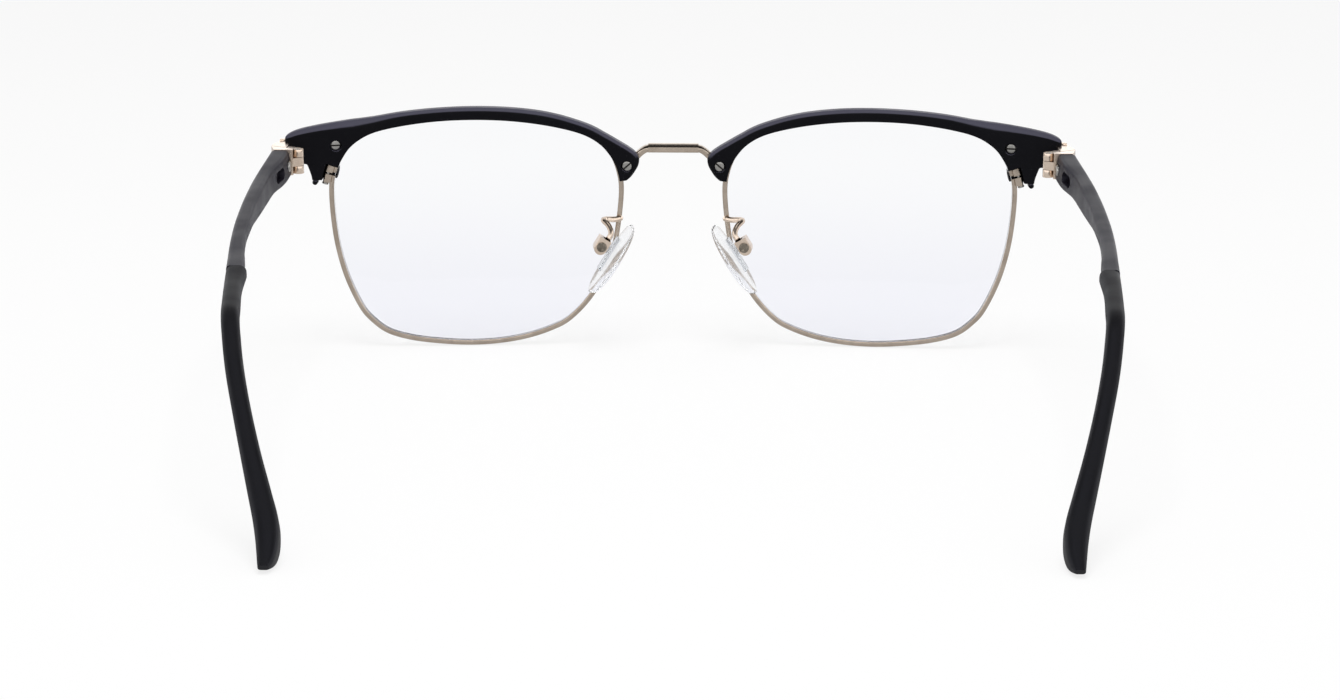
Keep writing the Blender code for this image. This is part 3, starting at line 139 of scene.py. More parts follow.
def dress(name, material, edge_width=0.0, crease=wire_crease):
    """Gives a node its material, joins the faces that its file keeps apart, and eases its sharp edges."""
    piece = nodes[name]
    piece.data.materials.clear()
    piece.data.materials.append(material)
    if "custom_normal" in piece.data.attributes:
        piece.data.attributes.remove(piece.data.attributes["custom_normal"])
    piece.data.shade_smooth()
    weld = piece.modifiers.new("joined_faces", "WELD")
    weld.merge_threshold = joined_distance
    if edge_width:
        flat = piece.modifiers.new("flat_faces", "DECIMATE")
        flat.decimate_type = "DISSOLVE"
        flat.angle_limit = flat_angle
        eased = piece.modifiers.new("eased_edges", "BEVEL")
        eased.width = edge_width
        eased.segments = edge_rounds
        eased.limit_method = "ANGLE"
        eased.angle_limit = crease
        eased.use_clamp_overlap = True
        eased.harden_normals = False
    normals = piece.modifiers.new("even_shading", "WEIGHTED_NORMAL")
    normals.keep_sharp = True
    normals.weight = flat_face_weight
    return piece


wire_gold = plated_metal("rose_gold_wire", rose_pale, rose_warm, plating_roughness)

lens_width = 0.0512
lens_height = 0.0406
lens_gap = 0.0188
lens_middle_x = (lens_gap + lens_width) / 2
lens_edge_x = lens_gap / 2 + lens_width
front_curve_radius = 0.150
wrap_slope = math.tan(math.radians(3.5))
front_tilt = math.radians(3.2)
hinge_below_lens_top = 0.0055
hinge_behind_lens_edge = 0.00844
# The lens outline in shares of its half width and half height, from the rim lock down the temple side
outline_shares = (
    (0.985, 0.515), (1.0, 0.37), (0.99, 0.12), (0.96, -0.14), (0.9, -0.41), (0.807, -0.663),
    (0.728, -0.786), (0.615, -0.89), (0.44, -0.955), (0.22, -0.99), (0.02, -1.0), (-0.18, -0.982),
    (-0.36, -0.938), (-0.521, -0.868), (-0.64, -0.784), (-0.772, -0.611), (-0.88, -0.39), (-0.944, -0.173),
    (-0.98, 0.07), (-1.0, 0.35), (-0.985, 0.52), (-0.939, 0.673), (-0.858, 0.79), (-0.724, 0.88),
    (-0.5, 0.947), (-0.24, 0.988), (0.03, 1.0), (0.3, 0.985), (0.56, 0.94), (0.74, 0.88),
    (0.866, 0.779), (0.943, 0.645),
)
outline_steps_per_span = 12
rim_rise = 0.0006
rim_drop = 0.0003
rim_half_width = 0.0008
rim_groove_half = 0.00042
rim_round = 0.00042
rim_steps = 300
rim_end_share = 0.0020
block_gap_share = 0.0012
block_lower_share = 0.0090
block_upper_share = 0.0074
block_root = 0.0003
block_reach = 0.00170
block_front = 0.00072
block_rear = 0.00145
block_round = 0.0004
block_steps = 4
wire_corner_steps = 4


def front_depth(x, z):
    """How far the curved front lies behind the flat plane at the nose."""
    from_middle = (x - lens_middle_x) ** 2 + z**2
    return wrap_slope * (x - lens_gap / 2) + (from_middle - (lens_width / 2) ** 2) / (2 * front_curve_radius)


def spline(a, b, c, d, t):
    """The smooth curve's point at t on its way from b to c."""
    return ((b * 2) + (c - a) * t + (a * 2 - b * 5 + c * 4 - d) * t**2 + (b * 3 - a - c * 3 + d) * t**3) / 2


def lens_outline():
    """Many points round the lens, and the length up to each."""
    given = [Vector((lens_middle_x + u * lens_width / 2, w * lens_height / 2)) for u, w in outline_shares]
    points = []
    for i in range(len(given)):
        a, b, c, d = (given[(i + k) % len(given)] for k in (-1, 0, 1, 2))
        points += [spline(a, b, c, d, k / outline_steps_per_span) for k in range(outline_steps_per_span)]
    lengths = [0.0]
    for i, point in enumerate(points):
        lengths.append(lengths[-1] + (points[(i + 1) % len(points)] - point).length)
    return points, lengths


outline_points, outline_lengths = lens_outline()


def outline_at(share):
    """The outline's point and its outward direction, at a share of the way round."""
    along = (share % 1.0) * outline_lengths[-1]
    i = 0
    while outline_lengths[i + 1] < along:
        i += 1
    before, start, end, after = (outline_points[(i + k) % len(outline_points)] for k in (-1, 0, 1, 2))
    t = (along - outline_lengths[i]) / (outline_lengths[i + 1] - outline_lengths[i])
    tangent = (end - before).lerp(after - start, t).normalized()
    return start.lerp(end, t), Vector((-tangent.y, tangent.x))


def on_front(share, rise, behind):
    """A place out from the lens outline by a rise, and behind the curved front."""
    point, out = outline_at(share)
    return Vector((point.x + out.x * rise, front_depth(point.x, point.y) + behind, point.y + out.y * rise))


def rounded(corners, rounds, steps):
    """A closed outline whose corners are eased, each by its own round."""
    points = [Vector(corner) for corner in corners]
    eased = []
    for i, corner in enumerate(points):
        before = corner + (points[i - 1] - corner).normalized() * rounds[i]
        after = corner + (points[(i + 1) % len(points)] - corner).normalized() * rounds[i]
        if not rounds[i]:
            eased.append(corner)
            continue
        for k in range(steps + 1):
            t = k / steps
            eased.append(before * (1 - t) ** 2 + corner * (2 * t * (1 - t)) + after * t**2)
    return eased


def body_through(rings, into=None):
    """A closed body through rings of points, added to a mesh in the making or to a new one."""
    mesh = into or bmesh.new()
    rows = [[mesh.verts.new(point) for point in ring] for ring in rings]
    for row, after in zip(rows, rows[1:]):
        for i in range(len(row)):
            j = (i + 1) % len(row)
            mesh.faces.new((row[i], row[j], after[j], after[i]))
    mesh.faces.new(rows[0])
    mesh.faces.new(rows[-1])
    return mesh


def swept(start_share, end_share, steps, section, into=None):
    """A body of a (rise, behind) section along a stretch of the lens outline."""
    rings = []
    for i in range(steps + 1):
        share = start_share + (end_share - start_share) * i / steps
        rings.append([on_front(share, rise, behind) for rise, behind in section])
    return body_through(rings, into)


def stand_in(node, name, mesh, place, material, body, crease):
    """A finer piece in the place of a node. The right one is the mirror image of the left one."""
    bmesh.ops.transform(mesh, matrix=place, verts=mesh.verts)
    if node.startswith("right"):
        bmesh.ops.scale(mesh, vec=(-1, 1, 1), verts=mesh.verts)
    bmesh.ops.recalc_face_normals(mesh, faces=mesh.faces)
    data = bpy.data.meshes.new(name)
    mesh.to_mesh(data)
    mesh.free()
    data.materials.append(material)
    data.shade_smooth()
    piece = bpy.data.objects.new(name, data)
    bpy.context.scene.collection.objects.link(piece)
    data.set_sharp_from_angle(angle=crease)
    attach(piece, body)
    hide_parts(node)
    return piece


def eyewire_mesh():
    """The open wire with rounded outer corners and a groove for the lens, and its two closing blocks."""
    corners = (
        (rim_rise, -rim_half_width),
        (rim_rise, rim_half_width),
        (-rim_drop, rim_half_width),
        (-rim_drop, rim_groove_half),
        (0, 0),
        (-rim_drop, -rim_groove_half),
        (-rim_drop, -rim_half_width),
    )
    rounds = (rim_round, rim_round, rim_drop / 2, 0, 0, 0, rim_drop / 2)
    section = rounded(corners, rounds, wire_corner_steps)
    mesh = swept(rim_end_share, 1 - rim_end_share, rim_steps, section)
    corners = (
        (block_root, -block_front),
        (block_reach, -block_front),
        (block_reach, block_rear),
        (block_root, block_rear),
    )
    section = rounded(corners, (0, block_round, block_round, 0), wire_corner_steps)
    swept(block_gap_share, block_gap_share + block_lower_share, block_steps, section, mesh)
    swept(-block_gap_share - block_upper_share, -block_gap_share, block_steps, section, mesh)
    return mesh


hinge_place = Vector(frame["joints"][0]["pos_m"])
hinge_height = lens_height / 2 - hinge_below_lens_top
hinge_depth = front_depth(lens_edge_x, hinge_height) + hinge_behind_lens_edge
front_origin = Vector((0, hinge_place.y - hinge_depth, hinge_place.z - hinge_height))
front_place = Matrix.Translation(front_origin) @ Matrix.Rotation(front_tilt, 4, "X")
for side in sides:
    stand_in(
        f"{side}_eyewire",
        f"{side}_grooved_wire",
        eyewire_mesh(),
        front_place,
        wire_gold,
        "front",
        wire_crease,
    )

# Lenses
# The real piece is a clear plastic lens, cut to the rim and bevelled all round to sit in its groove.
# It is polished and has an antireflection coat. A faint cool tint, strongest low on the lens, is a painted
# reflection. The index is under that of real lens plastic, so that no dark line runs along the rim.

lens_clear = (0.985, 0.99, 1.0, 1)
# Painted reflection: the cool tint low on the lens stands in for reflected light and fades out upwards
lens_painted_reflection_tint = (0.90, 0.905, 0.955, 1)
lens_index = 1.12
lens_coat_share = 0.25
painted_reflection_top = 0.85
painted_reflection_bottom = 0.12
lens_half = 0.00075
lens_inset = 0.00032
lens_foot_half = 0.00040
lens_tip_half = 0.00004
lens_chamfer = 0.0001
lens_sides = 192
lens_face_shares = (0.15, 0.35, 0.55, 0.75, 0.9)


def clear_lens():
    """Clear coated plastic, with a painted reflection: a cool tint low on the lens that fades upwards."""
    material, tree, shader = new_material("coated_lens")
    shader.inputs["Transmission Weight"].default_value = 1.0
    shader.inputs["Roughness"].default_value = 0.0
    shader.inputs["IOR"].default_value = lens_index
    shader.inputs["Coat Weight"].default_value = lens_coat_share
    place = tree.nodes.new("ShaderNodeTexCoord")
    split = tree.nodes.new("ShaderNodeSeparateXYZ")
    ramp = tree.nodes.new("ShaderNodeValToRGB")
    ramp.color_ramp.interpolation = "EASE"
    ramp.color_ramp.elements[0].position = painted_reflection_bottom
    ramp.color_ramp.elements[1].position = painted_reflection_top
    ramp.color_ramp.elements[0].color = lens_painted_reflection_tint
    ramp.color_ramp.elements[1].color = lens_clear
    tree.links.new(place.outputs["Generated"], split.inputs["Vector"])
    tree.links.new(split.outputs["Z"], ramp.inputs["Fac"])
    tree.links.new(ramp.outputs["Color"], shader.inputs["Base Color"])
    return material


def lens_mesh():
    """A thin curved disc whose V bevel sits in the wire's groove."""
    edge_section = (
        (-lens_inset - lens_chamfer, -lens_half),
        (-lens_inset, lens_chamfer - lens_half),
        (-lens_inset, -lens_foot_half),
        (-lens_tip_half, -lens_tip_half),
        (-lens_tip_half, lens_tip_half),
        (-lens_inset, lens_foot_half),
        (-lens_inset, lens_half - lens_chamfer),
        (-lens_inset - lens_chamfer, lens_half),
    )
    edge = []
    for rise, behind in edge_section:
        edge.append([on_front(i / lens_sides, rise, behind) for i in range(lens_sides)])

    def face_ring(share, behind):
        ring = []
        for place in edge[0]:
            x = lens_middle_x + (place.x - lens_middle_x) * share
            ring.append(Vector((x, front_depth(x, place.z * share) + behind, place.z * share)))
        return ring

    before = [face_ring(share, -lens_half) for share in lens_face_shares]
    after = [face_ring(share, lens_half) for share in reversed(lens_face_shares)]
    return body_through(before + edge + after)


lens_material = clear_lens()
for side in sides:
    stand_in(
        f"{side}_lens",
        f"{side}_bevelled_lens",
        lens_mesh(),
        front_place,
        lens_material,
        "front",
        wire_crease,
    )

# Bridge
# The real piece is a flat rose-gold bar, stamped and bent down at both ends to meet the eyewires.
# Its ends run under the brows, where a threaded lug takes the inner brow screw.

bridge_edge_width = 0.00010
bridge_crease = math.radians(40)

dress("bridge", wire_gold, bridge_edge_width, bridge_crease)

# Brows
# The real piece is a black acetate moulding over the top of each eyewire.
# Its face has a fine matte blast, and two screws from behind hold it to the metal.

black_face = (0.0024, 0.0023, 0.0027, 1)
black_worn = (0.0040, 0.0039, 0.0045, 1)
brow_gloss = 0.10
# Painted highlight: a blue-grey sheen painted on the brow's upward faces, where the overhead light falls
painted_sheen_grey = (0.066, 0.064, 0.088, 1)
painted_sheen_starts = 0.22
painted_sheen_full = 0.62
moulding_tint = (0.78, 0.80, 1.0, 1)
moulding_roughness = (0.40, 0.54)
moulding_grain_scale = 9000
moulding_cloud_scale = 160
moulding_cloud_detail = 6
moulding_grain_detail = 3
moulding_grain_strength = 0.5
moulding_bump = 0.000012
# A mix node's colour sockets, by their place among its inputs and outputs
mix_first = 6
mix_second = 7
mix_result = 2


def moulded_plastic(name, first, second, roughness, grain_scale, gloss):
    """Matte plastic: a blasted grain, and wide clouds where it has been handled."""
    material, tree, shader = new_material(name)
    clouds = cloud(tree, moulding_cloud_scale, moulding_cloud_detail)
    grain = cloud(tree, grain_scale, moulding_grain_detail)
    tree.links.new(shaded(tree, clouds, first, second), shader.inputs["Base Color"])
    tree.links.new(between(tree, clouds, *roughness), shader.inputs["Roughness"])
    tree.links.new(relief(tree, grain, moulding_bump, moulding_grain_strength), shader.inputs["Normal"])
    shader.inputs["Specular IOR Level"].default_value = gloss
    shader.inputs["Specular Tint"].default_value = moulding_tint
    return material


def paint_sheen_on_top(material):
    """Paints the faces that look up a blue-grey sheen, a painted highlight for the overhead light, fading
    into the black of the upright ones.
    """
    tree = material.node_tree
    shader = tree.nodes["Principled BSDF"]
    black = shader.inputs["Base Color"].links[0].from_socket
    surface = tree.nodes.new("ShaderNodeNewGeometry")
    parts = tree.nodes.new("ShaderNodeSeparateXYZ")
    upward = tree.nodes.new("ShaderNodeMapRange")
    upward.interpolation_type = "SMOOTHSTEP"
    upward.inputs["From Min"].default_value = painted_sheen_starts
    upward.inputs["From Max"].default_value = painted_sheen_full
    mix = tree.nodes.new("ShaderNodeMix")
    mix.data_type = "RGBA"
    mix.inputs[mix_second].default_value = painted_sheen_grey
    tree.links.new(surface.outputs["Normal"], parts.inputs["Vector"])
    tree.links.new(parts.outputs["Z"], upward.inputs["Value"])
    tree.links.new(upward.outputs["Result"], mix.inputs["Factor"])
    tree.links.new(black, mix.inputs[mix_first])
    tree.links.new(mix.outputs[mix_result], shader.inputs["Base Color"])


brow_plastic = moulded_plastic(
    "matte_brow", black_face, black_worn, moulding_roughness, moulding_grain_scale, brow_gloss
)
# The brow's upward faces get a painted sheen, light from above painted into the colour
paint_sheen_on_top(brow_plastic)

brow_front = 0.0020
brow_rear = 0.0018
brow_cover = 0.0003
brow_rise = 0.00235
brow_lower_round = 0.00025
brow_front_round = 0.0009
brow_rear_slope = 0.0006
brow_slope_ease = 0.42
brow_widest_round_share = 0.45
brow_corner_steps = 6
brow_run_power = 1.25
brow_end_reach = 0.00785
brow_end_depth = 0.0107
brow_start_share = 0.6066
brow_corner_share = 0.945
brow_end_share = 1.0055
brow_run_steps = 150
brow_end_steps = 5
# Rows of a share of the run over the lens, then shares of the rise, of the rear round and of the cover
brow_rise_rows = (
    (0.0, 0.54, 0.6, 0.2), (0.009, 0.89, 0.8, 0.2), (0.023, 1.27, 0.9, 0.25), (0.0405, 1.66, 0.9, 0.3),
    (0.056, 1.82, 0.9, 0.4), (0.073, 1.70, 1.0, 0.6), (0.09, 1.43, 1.0, 0.8), (0.112, 1.11, 1.0, 1.0),
    (0.137, 0.87, 1.0, 1.0), (0.167, 0.735, 1.0, 1.0), (0.241, 0.704, 1.0, 1.0), (0.317, 0.79, 1.0, 1.0),
    (0.388, 0.835, 1.0, 1.0), (0.59, 0.82, 1.0, 1.0), (0.725, 0.82, 1.0, 1.0), (0.859, 0.90, 1.1, 1.0),
    (0.928, 0.97, 1.4, 1.0), (0.955, 1.085, 1.6, 1.0), (0.98, 1.275, 1.8, 1.0), (1.0, 1.515, 2.0, 1.0),
)
# Rows of a share of the outer end's run, then the upper edge's place in shares of the end's reach and
# depth, and shares of the rear round and of the cover
brow_end_rows = (
    (0.0, -0.40, -0.012, 1.9, 1.0), (0.10, -0.10, -0.046, 2.1, 1.0), (0.20, 0.37, -0.102, 2.2, 1.0),
    (0.32, 0.74, -0.162, 2.0, 1.0), (0.42, 0.943, -0.226, 1.4, 1.0), (0.50, 1.0, -0.285, 0.8, 1.0),
    (0.58, 0.98, -0.440, 0.5, 1.0), (0.66, 0.91, -0.645, 0.5, 1.0), (0.72, 0.815, -0.696, 0.5, 1.2),
    (0.78, 0.624, -0.710, 0.5, 1.6), (0.84, 0.541, -0.734, 0.5, 2.0), (0.90, 0.497, -0.804, 0.5, 2.1),
    (0.95, 0.446, -0.920, 0.5, 2.1), (1.0, 0.427, -1.0, 0.5, 1.8),
)
finger_place_shares = (0.364, -1.0)
finger_radius = 0.00048
finger_drop = 0.0004
finger_front = -0.0006
finger_sides = 24
notch_spare = 0.00012
notch_front = -0.00092
notch_inner = -0.0009
notch_before_share = 0.001
notch_after_share = 0.004
notch_steps = 8
# Each screw hole: its place on the lens outline, and its rise over it
brow_hole_places = {"inner": (0.622, 0.00204), "outer": (0.9699, 0.00234)}
brow_hole_depth = 0.00043
brow_hole_radius = 0.00103
round_sides = 48
brow_crease = math.radians(40)


def read_rows(rows, share):
    """The values at a share, on a smooth curve through the rows."""
    last = len(rows) - 1
    i = 0
    while i < last - 1 and share > rows[i + 1][0]:
        i += 1
    before, start, end, after = rows[max(i - 1, 0)], rows[i], rows[i + 1], rows[min(i + 2, last)]
    span = end[0] - start[0]
    t = (share - start[0]) / span
    values = []
    for k in range(1, len(start)):
        slope_in = span * (end[k] - before[k]) / (end[0] - before[0])
        slope_out = span * (after[k] - start[k]) / (after[0] - start[0])
        rise = end[k] - start[k]
        bow = 3 * rise - 2 * slope_in - slope_out
        values.append(start[k] + t * (slope_in + t * (bow + t * (slope_in + slope_out - 2 * rise))))
    return values


def brow_ring(lower, upper, round_share):
    """The moulding's section between its lower and upper edge across the front, with eased corners."""
    up = (upper - lower).normalized()
    length = (upper - lower).length
    widest = length * brow_widest_round_share
    slope = min(brow_rear_slope * round_share, widest)
    ease = slope * brow_slope_ease
    corners = (
        (0, -brow_front),
        (length, -brow_front),
        (length, brow_rear - slope),
        (length - slope, brow_rear),
        (0, brow_rear),
    )
    rounds = (brow_lower_round, min(brow_front_round, widest), ease, ease, brow_lower_round)
    ring = []
    for rise, behind in rounded(corners, rounds, brow_corner_steps):
        place = lower + up * rise
        ring.append(Vector((place.x, front_depth(place.x, place.y) + behind, place.y)))
    return ring


def turned(base, way, profile, steps, into=None):
    """A turned body: the profile holds places along the axis and the radius at each."""
    u = way.orthogonal().normalized()
    v = way.cross(u).normalized()
    rings = []
    for along, radius in profile:
        angles = [math.tau * i / steps for i in range(steps)]
        rings.append([base + way * along + (u * math.cos(a) + v * math.sin(a)) * radius for a in angles])
    return body_through(rings, into)


def end_place(reach_share, depth_share):
    """A place at the brow's outer end, in shares of its reach and depth."""
    x = lens_edge_x + reach_share * brow_end_reach
    return Vector((x, lens_height / 2 + depth_share * brow_end_depth))


def brow_mesh():
    """The moulding from its inner tip to its stepped outer end, with the finger below it."""
    rings = []
    for i in range(brow_run_steps + 1):
        run_share = (i / brow_run_steps) ** brow_run_power
        point, out = outline_at(brow_start_share + (brow_corner_share - brow_start_share) * run_share)
        rise_share, round_share, cover_share = read_rows(brow_rise_rows, run_share)
        lower = point - out * brow_cover * cover_share
        rings.append(brow_ring(lower, point + out * brow_rise * rise_share, round_share))
    end_shares = [row[0] for row in brow_end_rows]
    for start, end in zip(end_shares[1:], end_shares[2:]):
        last = end == end_shares[-1]
        for k in range(brow_end_steps + last):
            run_share = start + (end - start) * k / brow_end_steps
            point, out = outline_at(brow_corner_share + (brow_end_share - brow_corner_share) * run_share)
            reach_share, depth_share, round_share, cover_share = read_rows(brow_end_rows, run_share)
            upper = end_place(reach_share, depth_share)
            rings.append(brow_ring(point - out * brow_cover * cover_share, upper, round_share))
    mesh = body_through(rings)
    finger_x, finger_z = end_place(*finger_place_shares)
    finger = Vector((finger_x, front_depth(finger_x, finger_z) + finger_front, finger_z - finger_drop))
    length = brow_rear - finger_front
    half = finger_radius / 2
    profile = ((0, half), (half, finger_radius), (length - half, finger_radius), (length, half))
    turned(finger, Vector((0, 1, 0)), profile, finger_sides, mesh)
    return mesh


def cut_from(piece, mesh, place, material=None):
    """Takes a body away from a piece for good, and may give the new faces a material of their own."""
    bmesh.ops.transform(mesh, matrix=place, verts=mesh.verts)
    if piece.name.startswith("right"):
        bmesh.ops.scale(mesh, vec=(-1, 1, 1), verts=mesh.verts)
    bmesh.ops.recalc_face_normals(mesh, faces=mesh.faces)
    data = bpy.data.meshes.new("cutter")
    mesh.to_mesh(data)
    mesh.free()
    cutter = bpy.data.objects.new("cutter", data)
    bpy.context.scene.collection.objects.link(cutter)
    modifier = piece.modifiers.new("cut", "BOOLEAN")
    modifier.operation = "DIFFERENCE"
    modifier.solver = "EXACT"
    modifier.use_self = True
    modifier.object = cutter
    if material:
        data.materials.append(material)
        modifier.material_mode = "TRANSFER"
    graph = bpy.context.evaluated_depsgraph_get()
    shaped = bpy.data.meshes.new_from_object(piece.evaluated_get(graph))
    piece.modifiers.remove(modifier)
    piece.data = shaped
    bpy.data.objects.remove(cutter)
    shaped.set_sharp_from_angle(angle=brow_crease)


def brow_screw_axis(share, rise):
    """The place of a brow screw in the middle of the front, and its way to the rear."""
    place = on_front(share, rise, 0)
    across = wrap_slope + (place.x - lens_middle_x) / front_curve_radius
    return place, Vector((-across, 1, -place.z / front_curve_radius)).normalized()


def notch_mesh():
    """Room behind the brow's front wall for the upper closing block and the lock screw."""
    reach = block_reach + notch_spare
    rear = 2 * brow_rear
    corners = ((notch_inner, notch_front), (reach, notch_front), (reach, rear), (notch_inner, rear))
    start_share = -block_gap_share - block_upper_share - notch_before_share
    return swept(start_share, brow_end_share - 1 + notch_after_share, notch_steps, corners)


for side in sides:
    brow = stand_in(
        f"{side}_brow",
        f"{side}_brow_moulding",
        brow_mesh(),
        front_place,
        brow_plastic,
        "front",
        brow_crease,
    )
    cut_from(brow, notch_mesh(), front_place)
    for share, rise in brow_hole_places.values():
        place, rearward = brow_screw_axis(share, rise)
        profile = ((brow_rear - brow_hole_depth, brow_hole_radius), (2 * brow_rear, brow_hole_radius))
        cut_from(brow, turned(place, rearward, profile, round_sides), front_place)

# Brow screws, rim lock screws
# The real pieces are slotted steel screws with low round heads, turned and lightly polished.
# They go in from behind, flush with the brow, and from below into the rim lock.

steel_pale = (0.44, 0.43, 0.41, 1)
steel_dark = (0.28, 0.275, 0.26, 1)
steel_roughness = (0.22, 0.38)
screw_edge_width = 0.00004
screw_head_radius = 0.00098
screw_head_height = 0.00040
screw_shank_radius = 0.00045
screw_shank_length = 0.0018
# Painted shade: the slot faces are coloured near black for the shade inside the narrow slots
slot_painted_shade_colour = (0.045, 0.042, 0.04, 1)
slot_roughness = (0.45, 0.55)
screw_slot_half = 0.00015
screw_slot_depth = 0.00026
# The head's outline: shares of its height over the seat and of its radius
screw_head_shares = ((1.0, 0.5), (0.97, 0.72), (0.88, 0.88), (0.72, 0.96), (0.5, 1.0), (0.0, 1.0))
slot_ways = {"inner": Vector((-0.74, 0, 0.67)), "outer": Vector((1, 0, 0))}


def screw_mesh(seat, into):
    """The low round head and its shank, turned."""
    profile = [(-screw_head_height * up, screw_head_radius * share) for up, share in screw_head_shares]
    profile += [(0, screw_shank_radius), (screw_shank_length, screw_shank_radius)]
    return turned(seat, into, profile, round_sides)


def slot_mesh(seat, into, way):
    """A bar across the head that makes its slot when it is cut away."""
    across = into.cross(way).normalized() * screw_slot_half
    along = across.cross(into).normalized() * 2 * screw_head_radius
    rings = []
    for deep in (-2 * screw_head_height, screw_slot_depth - screw_head_height):
        base = seat + into * deep
        ends = (base + along, base - along)
        rings.append([ends[0] + across, ends[0] - across, ends[1] - across, ends[1] + across])
    return body_through(rings)


screw_steel = plated_metal("screw_steel", steel_pale, steel_dark, steel_roughness)
painted_shade_slots = plated_metal("painted_shade_slots", slot_painted_shade_colour, slot_painted_shade_colour, slot_roughness)
for side in sides:
    dress(f"{side}_lock_screw", screw_steel, screw_edge_width)
    for which, (share, rise) in brow_hole_places.items():
        place, rearward = brow_screw_axis(share, rise)
        seat = place + rearward * (brow_rear - screw_head_height)
        screw = stand_in(
            f"{side}_brow_screw_{which}",
            f"{side}_slotted_screw_{which}",
            screw_mesh(seat, -rearward),
            front_place,
            screw_steel,
            "front",
            brow_crease,
        )
        # The slot's cut faces take the painted shade colour
        cut_from(screw, slot_mesh(seat, -rearward, slot_ways[which]), front_place, painted_shade_slots)

# End pieces and hinge leaves
# The real pieces are blanked from nickel silver, milled to make three knuckles, and plated.
# The end piece runs under the brow. The leaf's flat tongue is pressed into the temple.

hinge_pale = (0.80, 0.67, 0.56, 1)
hinge_warm = (0.70, 0.57, 0.465, 1)
hinge_roughness = (0.16, 0.26)
hinge_edge_width = 0.00007

hinge_gold = plated_metal("rose_gold_hinge", hinge_pale, hinge_warm, hinge_roughness)
for side in sides:
    dress(f"{side}_end_piece", hinge_gold, hinge_edge_width)
    dress(f"{side}_hinge_leaf", hinge_gold, hinge_edge_width)
    dress(f"{side}_hinge_screw", screw_steel, screw_edge_width)
    dress(f"{side}_temple_screw", screw_steel, screw_edge_width)

# Temples
# The real piece is a black bar, moulded and milled, deep at the hinge and slim towards the ear.
# It is slotted for the hinge leaf and drilled for the screw and for the core wire.

temple_grain_scale = 7500
temple_gloss = 0.28
bar_face = (0.0100, 0.0088, 0.0135, 1)
bar_worn = (0.0150, 0.0135, 0.0200, 1)
temple_slope = math.radians(4.8)
temple_length = 0.0660
temple_top = 0.00232
temple_reach = 0.005745
temple_corner = 0.00075
temple_front = 0.00166
temple_steps = 96
temple_corner_steps = 5
temple_crease = math.radians(35)
# Rows of a share of the length, then the outer and inner face in shares of the reach, the lower edge in
# shares of the top, and the lean of the inner face's lower edge in shares of the reach
temple_rows = (
    (0.0, 0.785, 0.245, -1.0, 0.08), (0.105, 0.865, 0.335, -1.0, 0.08), (0.2, 0.935, 0.515, -0.92, 0.06),
    (0.3, 0.995, 0.565, -0.86, 0.03), (0.38, 1.02, 0.585, -0.8, 0.0), (0.46, 1.035, 0.61, -0.62, 0.0),
    (0.55, 1.03, 0.61, -0.32, 0.0), (0.64, 1.01, 0.58, -0.1, 0.0), (0.74, 0.96, 0.555, -0.04, 0.0),
    (0.84, 0.885, 0.46, -0.04, 0.0), (0.92, 0.81, 0.335, -0.04, 0.0), (1.0, 0.74, 0.24, -0.04, 0.0),
)
temple_screw_along = 0.00299
temple_screw_drop = 0.00015
temple_screw_seat = 0.00106
temple_screw_sides = 40
recess_along = 0.0092
recess_half_length = 0.0014
recess_radius = 0.0010
recess_depth = 0.0005
cut_reach = 0.0012


def temple_mesh():
    """The bar with eased corners, deep at the hinge and slim behind."""
    rings = []
    for i in range(temple_steps + 1):
        along = temple_front + (temple_length - temple_front) * i / temple_steps
        outer, inner, low, lean = read_rows(temple_rows, along / temple_length)
        corners = (
            (outer * temple_reach, low * temple_top),
            (outer * temple_reach, temple_top),
            (inner * temple_reach, temple_top),
            ((inner - lean) * temple_reach, low * temple_top),
        )
        section = rounded(corners, [temple_corner] * len(corners), temple_corner_steps)
        slant = 0 if i else math.tan(temple_slope)
        rings.append([Vector((x, along - z * slant, z)) for x, z in section])
    return body_through(rings)


def inner_face(along, up):
    """A place on the inner face at a length from the hinge."""
    return Vector((read_rows(temple_rows, along / temple_length)[1] * temple_reach, along, up))


def recess_mesh():
    """The oval blind recess in the inner face."""
    start = inner_face(recess_along, 0)
    rings = []
    for deep in (-cut_reach, recess_depth):
        ring = []
        for i in range(round_sides):
            angle = math.tau * i / round_sides
            shift = math.copysign(recess_half_length, math.cos(angle))
            along = shift + recess_radius * math.cos(angle)
            ring.append(start + Vector((deep, along, recess_radius * math.sin(angle))))
        rings.append(ring)
    return body_through(rings)


temple_plastic = moulded_plastic(
    "matte_temple", bar_face, bar_worn, moulding_roughness, temple_grain_scale, temple_gloss
)
temple_place = Matrix.Translation(hinge_place) @ Matrix.Rotation(-temple_slope, 4, "X")
for side in sides:
    bar = stand_in(
        f"{side}_temple",
        f"{side}_temple_bar",
        temple_mesh(),
        temple_place,
        temple_plastic,
        f"{side}_temple",
        temple_crease,
    )
    cut_from(bar, recess_mesh(), temple_place)
    seat = inner_face(temple_screw_along, -temple_screw_drop)
    profile = ((-cut_reach, temple_screw_seat), (0, temple_screw_seat))
    cut_from(bar, turned(seat, Vector((1, 0, 0)), profile, temple_screw_sides), temple_place)

# Temple tips and core wires
# The real tip is a soft black sleeve, slid over the core wire and bent down behind the ear.
# Its surface is a dull, slightly rubbery lacquer.

tip_face = (0.0042, 0.0041, 0.0046, 1)
tip_worn = (0.0070, 0.0069, 0.0076, 1)
tip_roughness = (0.50, 0.66)
tip_gloss = 0.28
tip_grain_scale = 11000
tip_start = 0.06612
tip_length = 0.06546
tip_bend_along = 0.0880
tip_bend_radius = 0.0100
tip_bend = math.radians(37.2)
tip_height = 0.0050
tip_corner_share = 0.42
tip_corner_steps = 6
tip_steps = 120
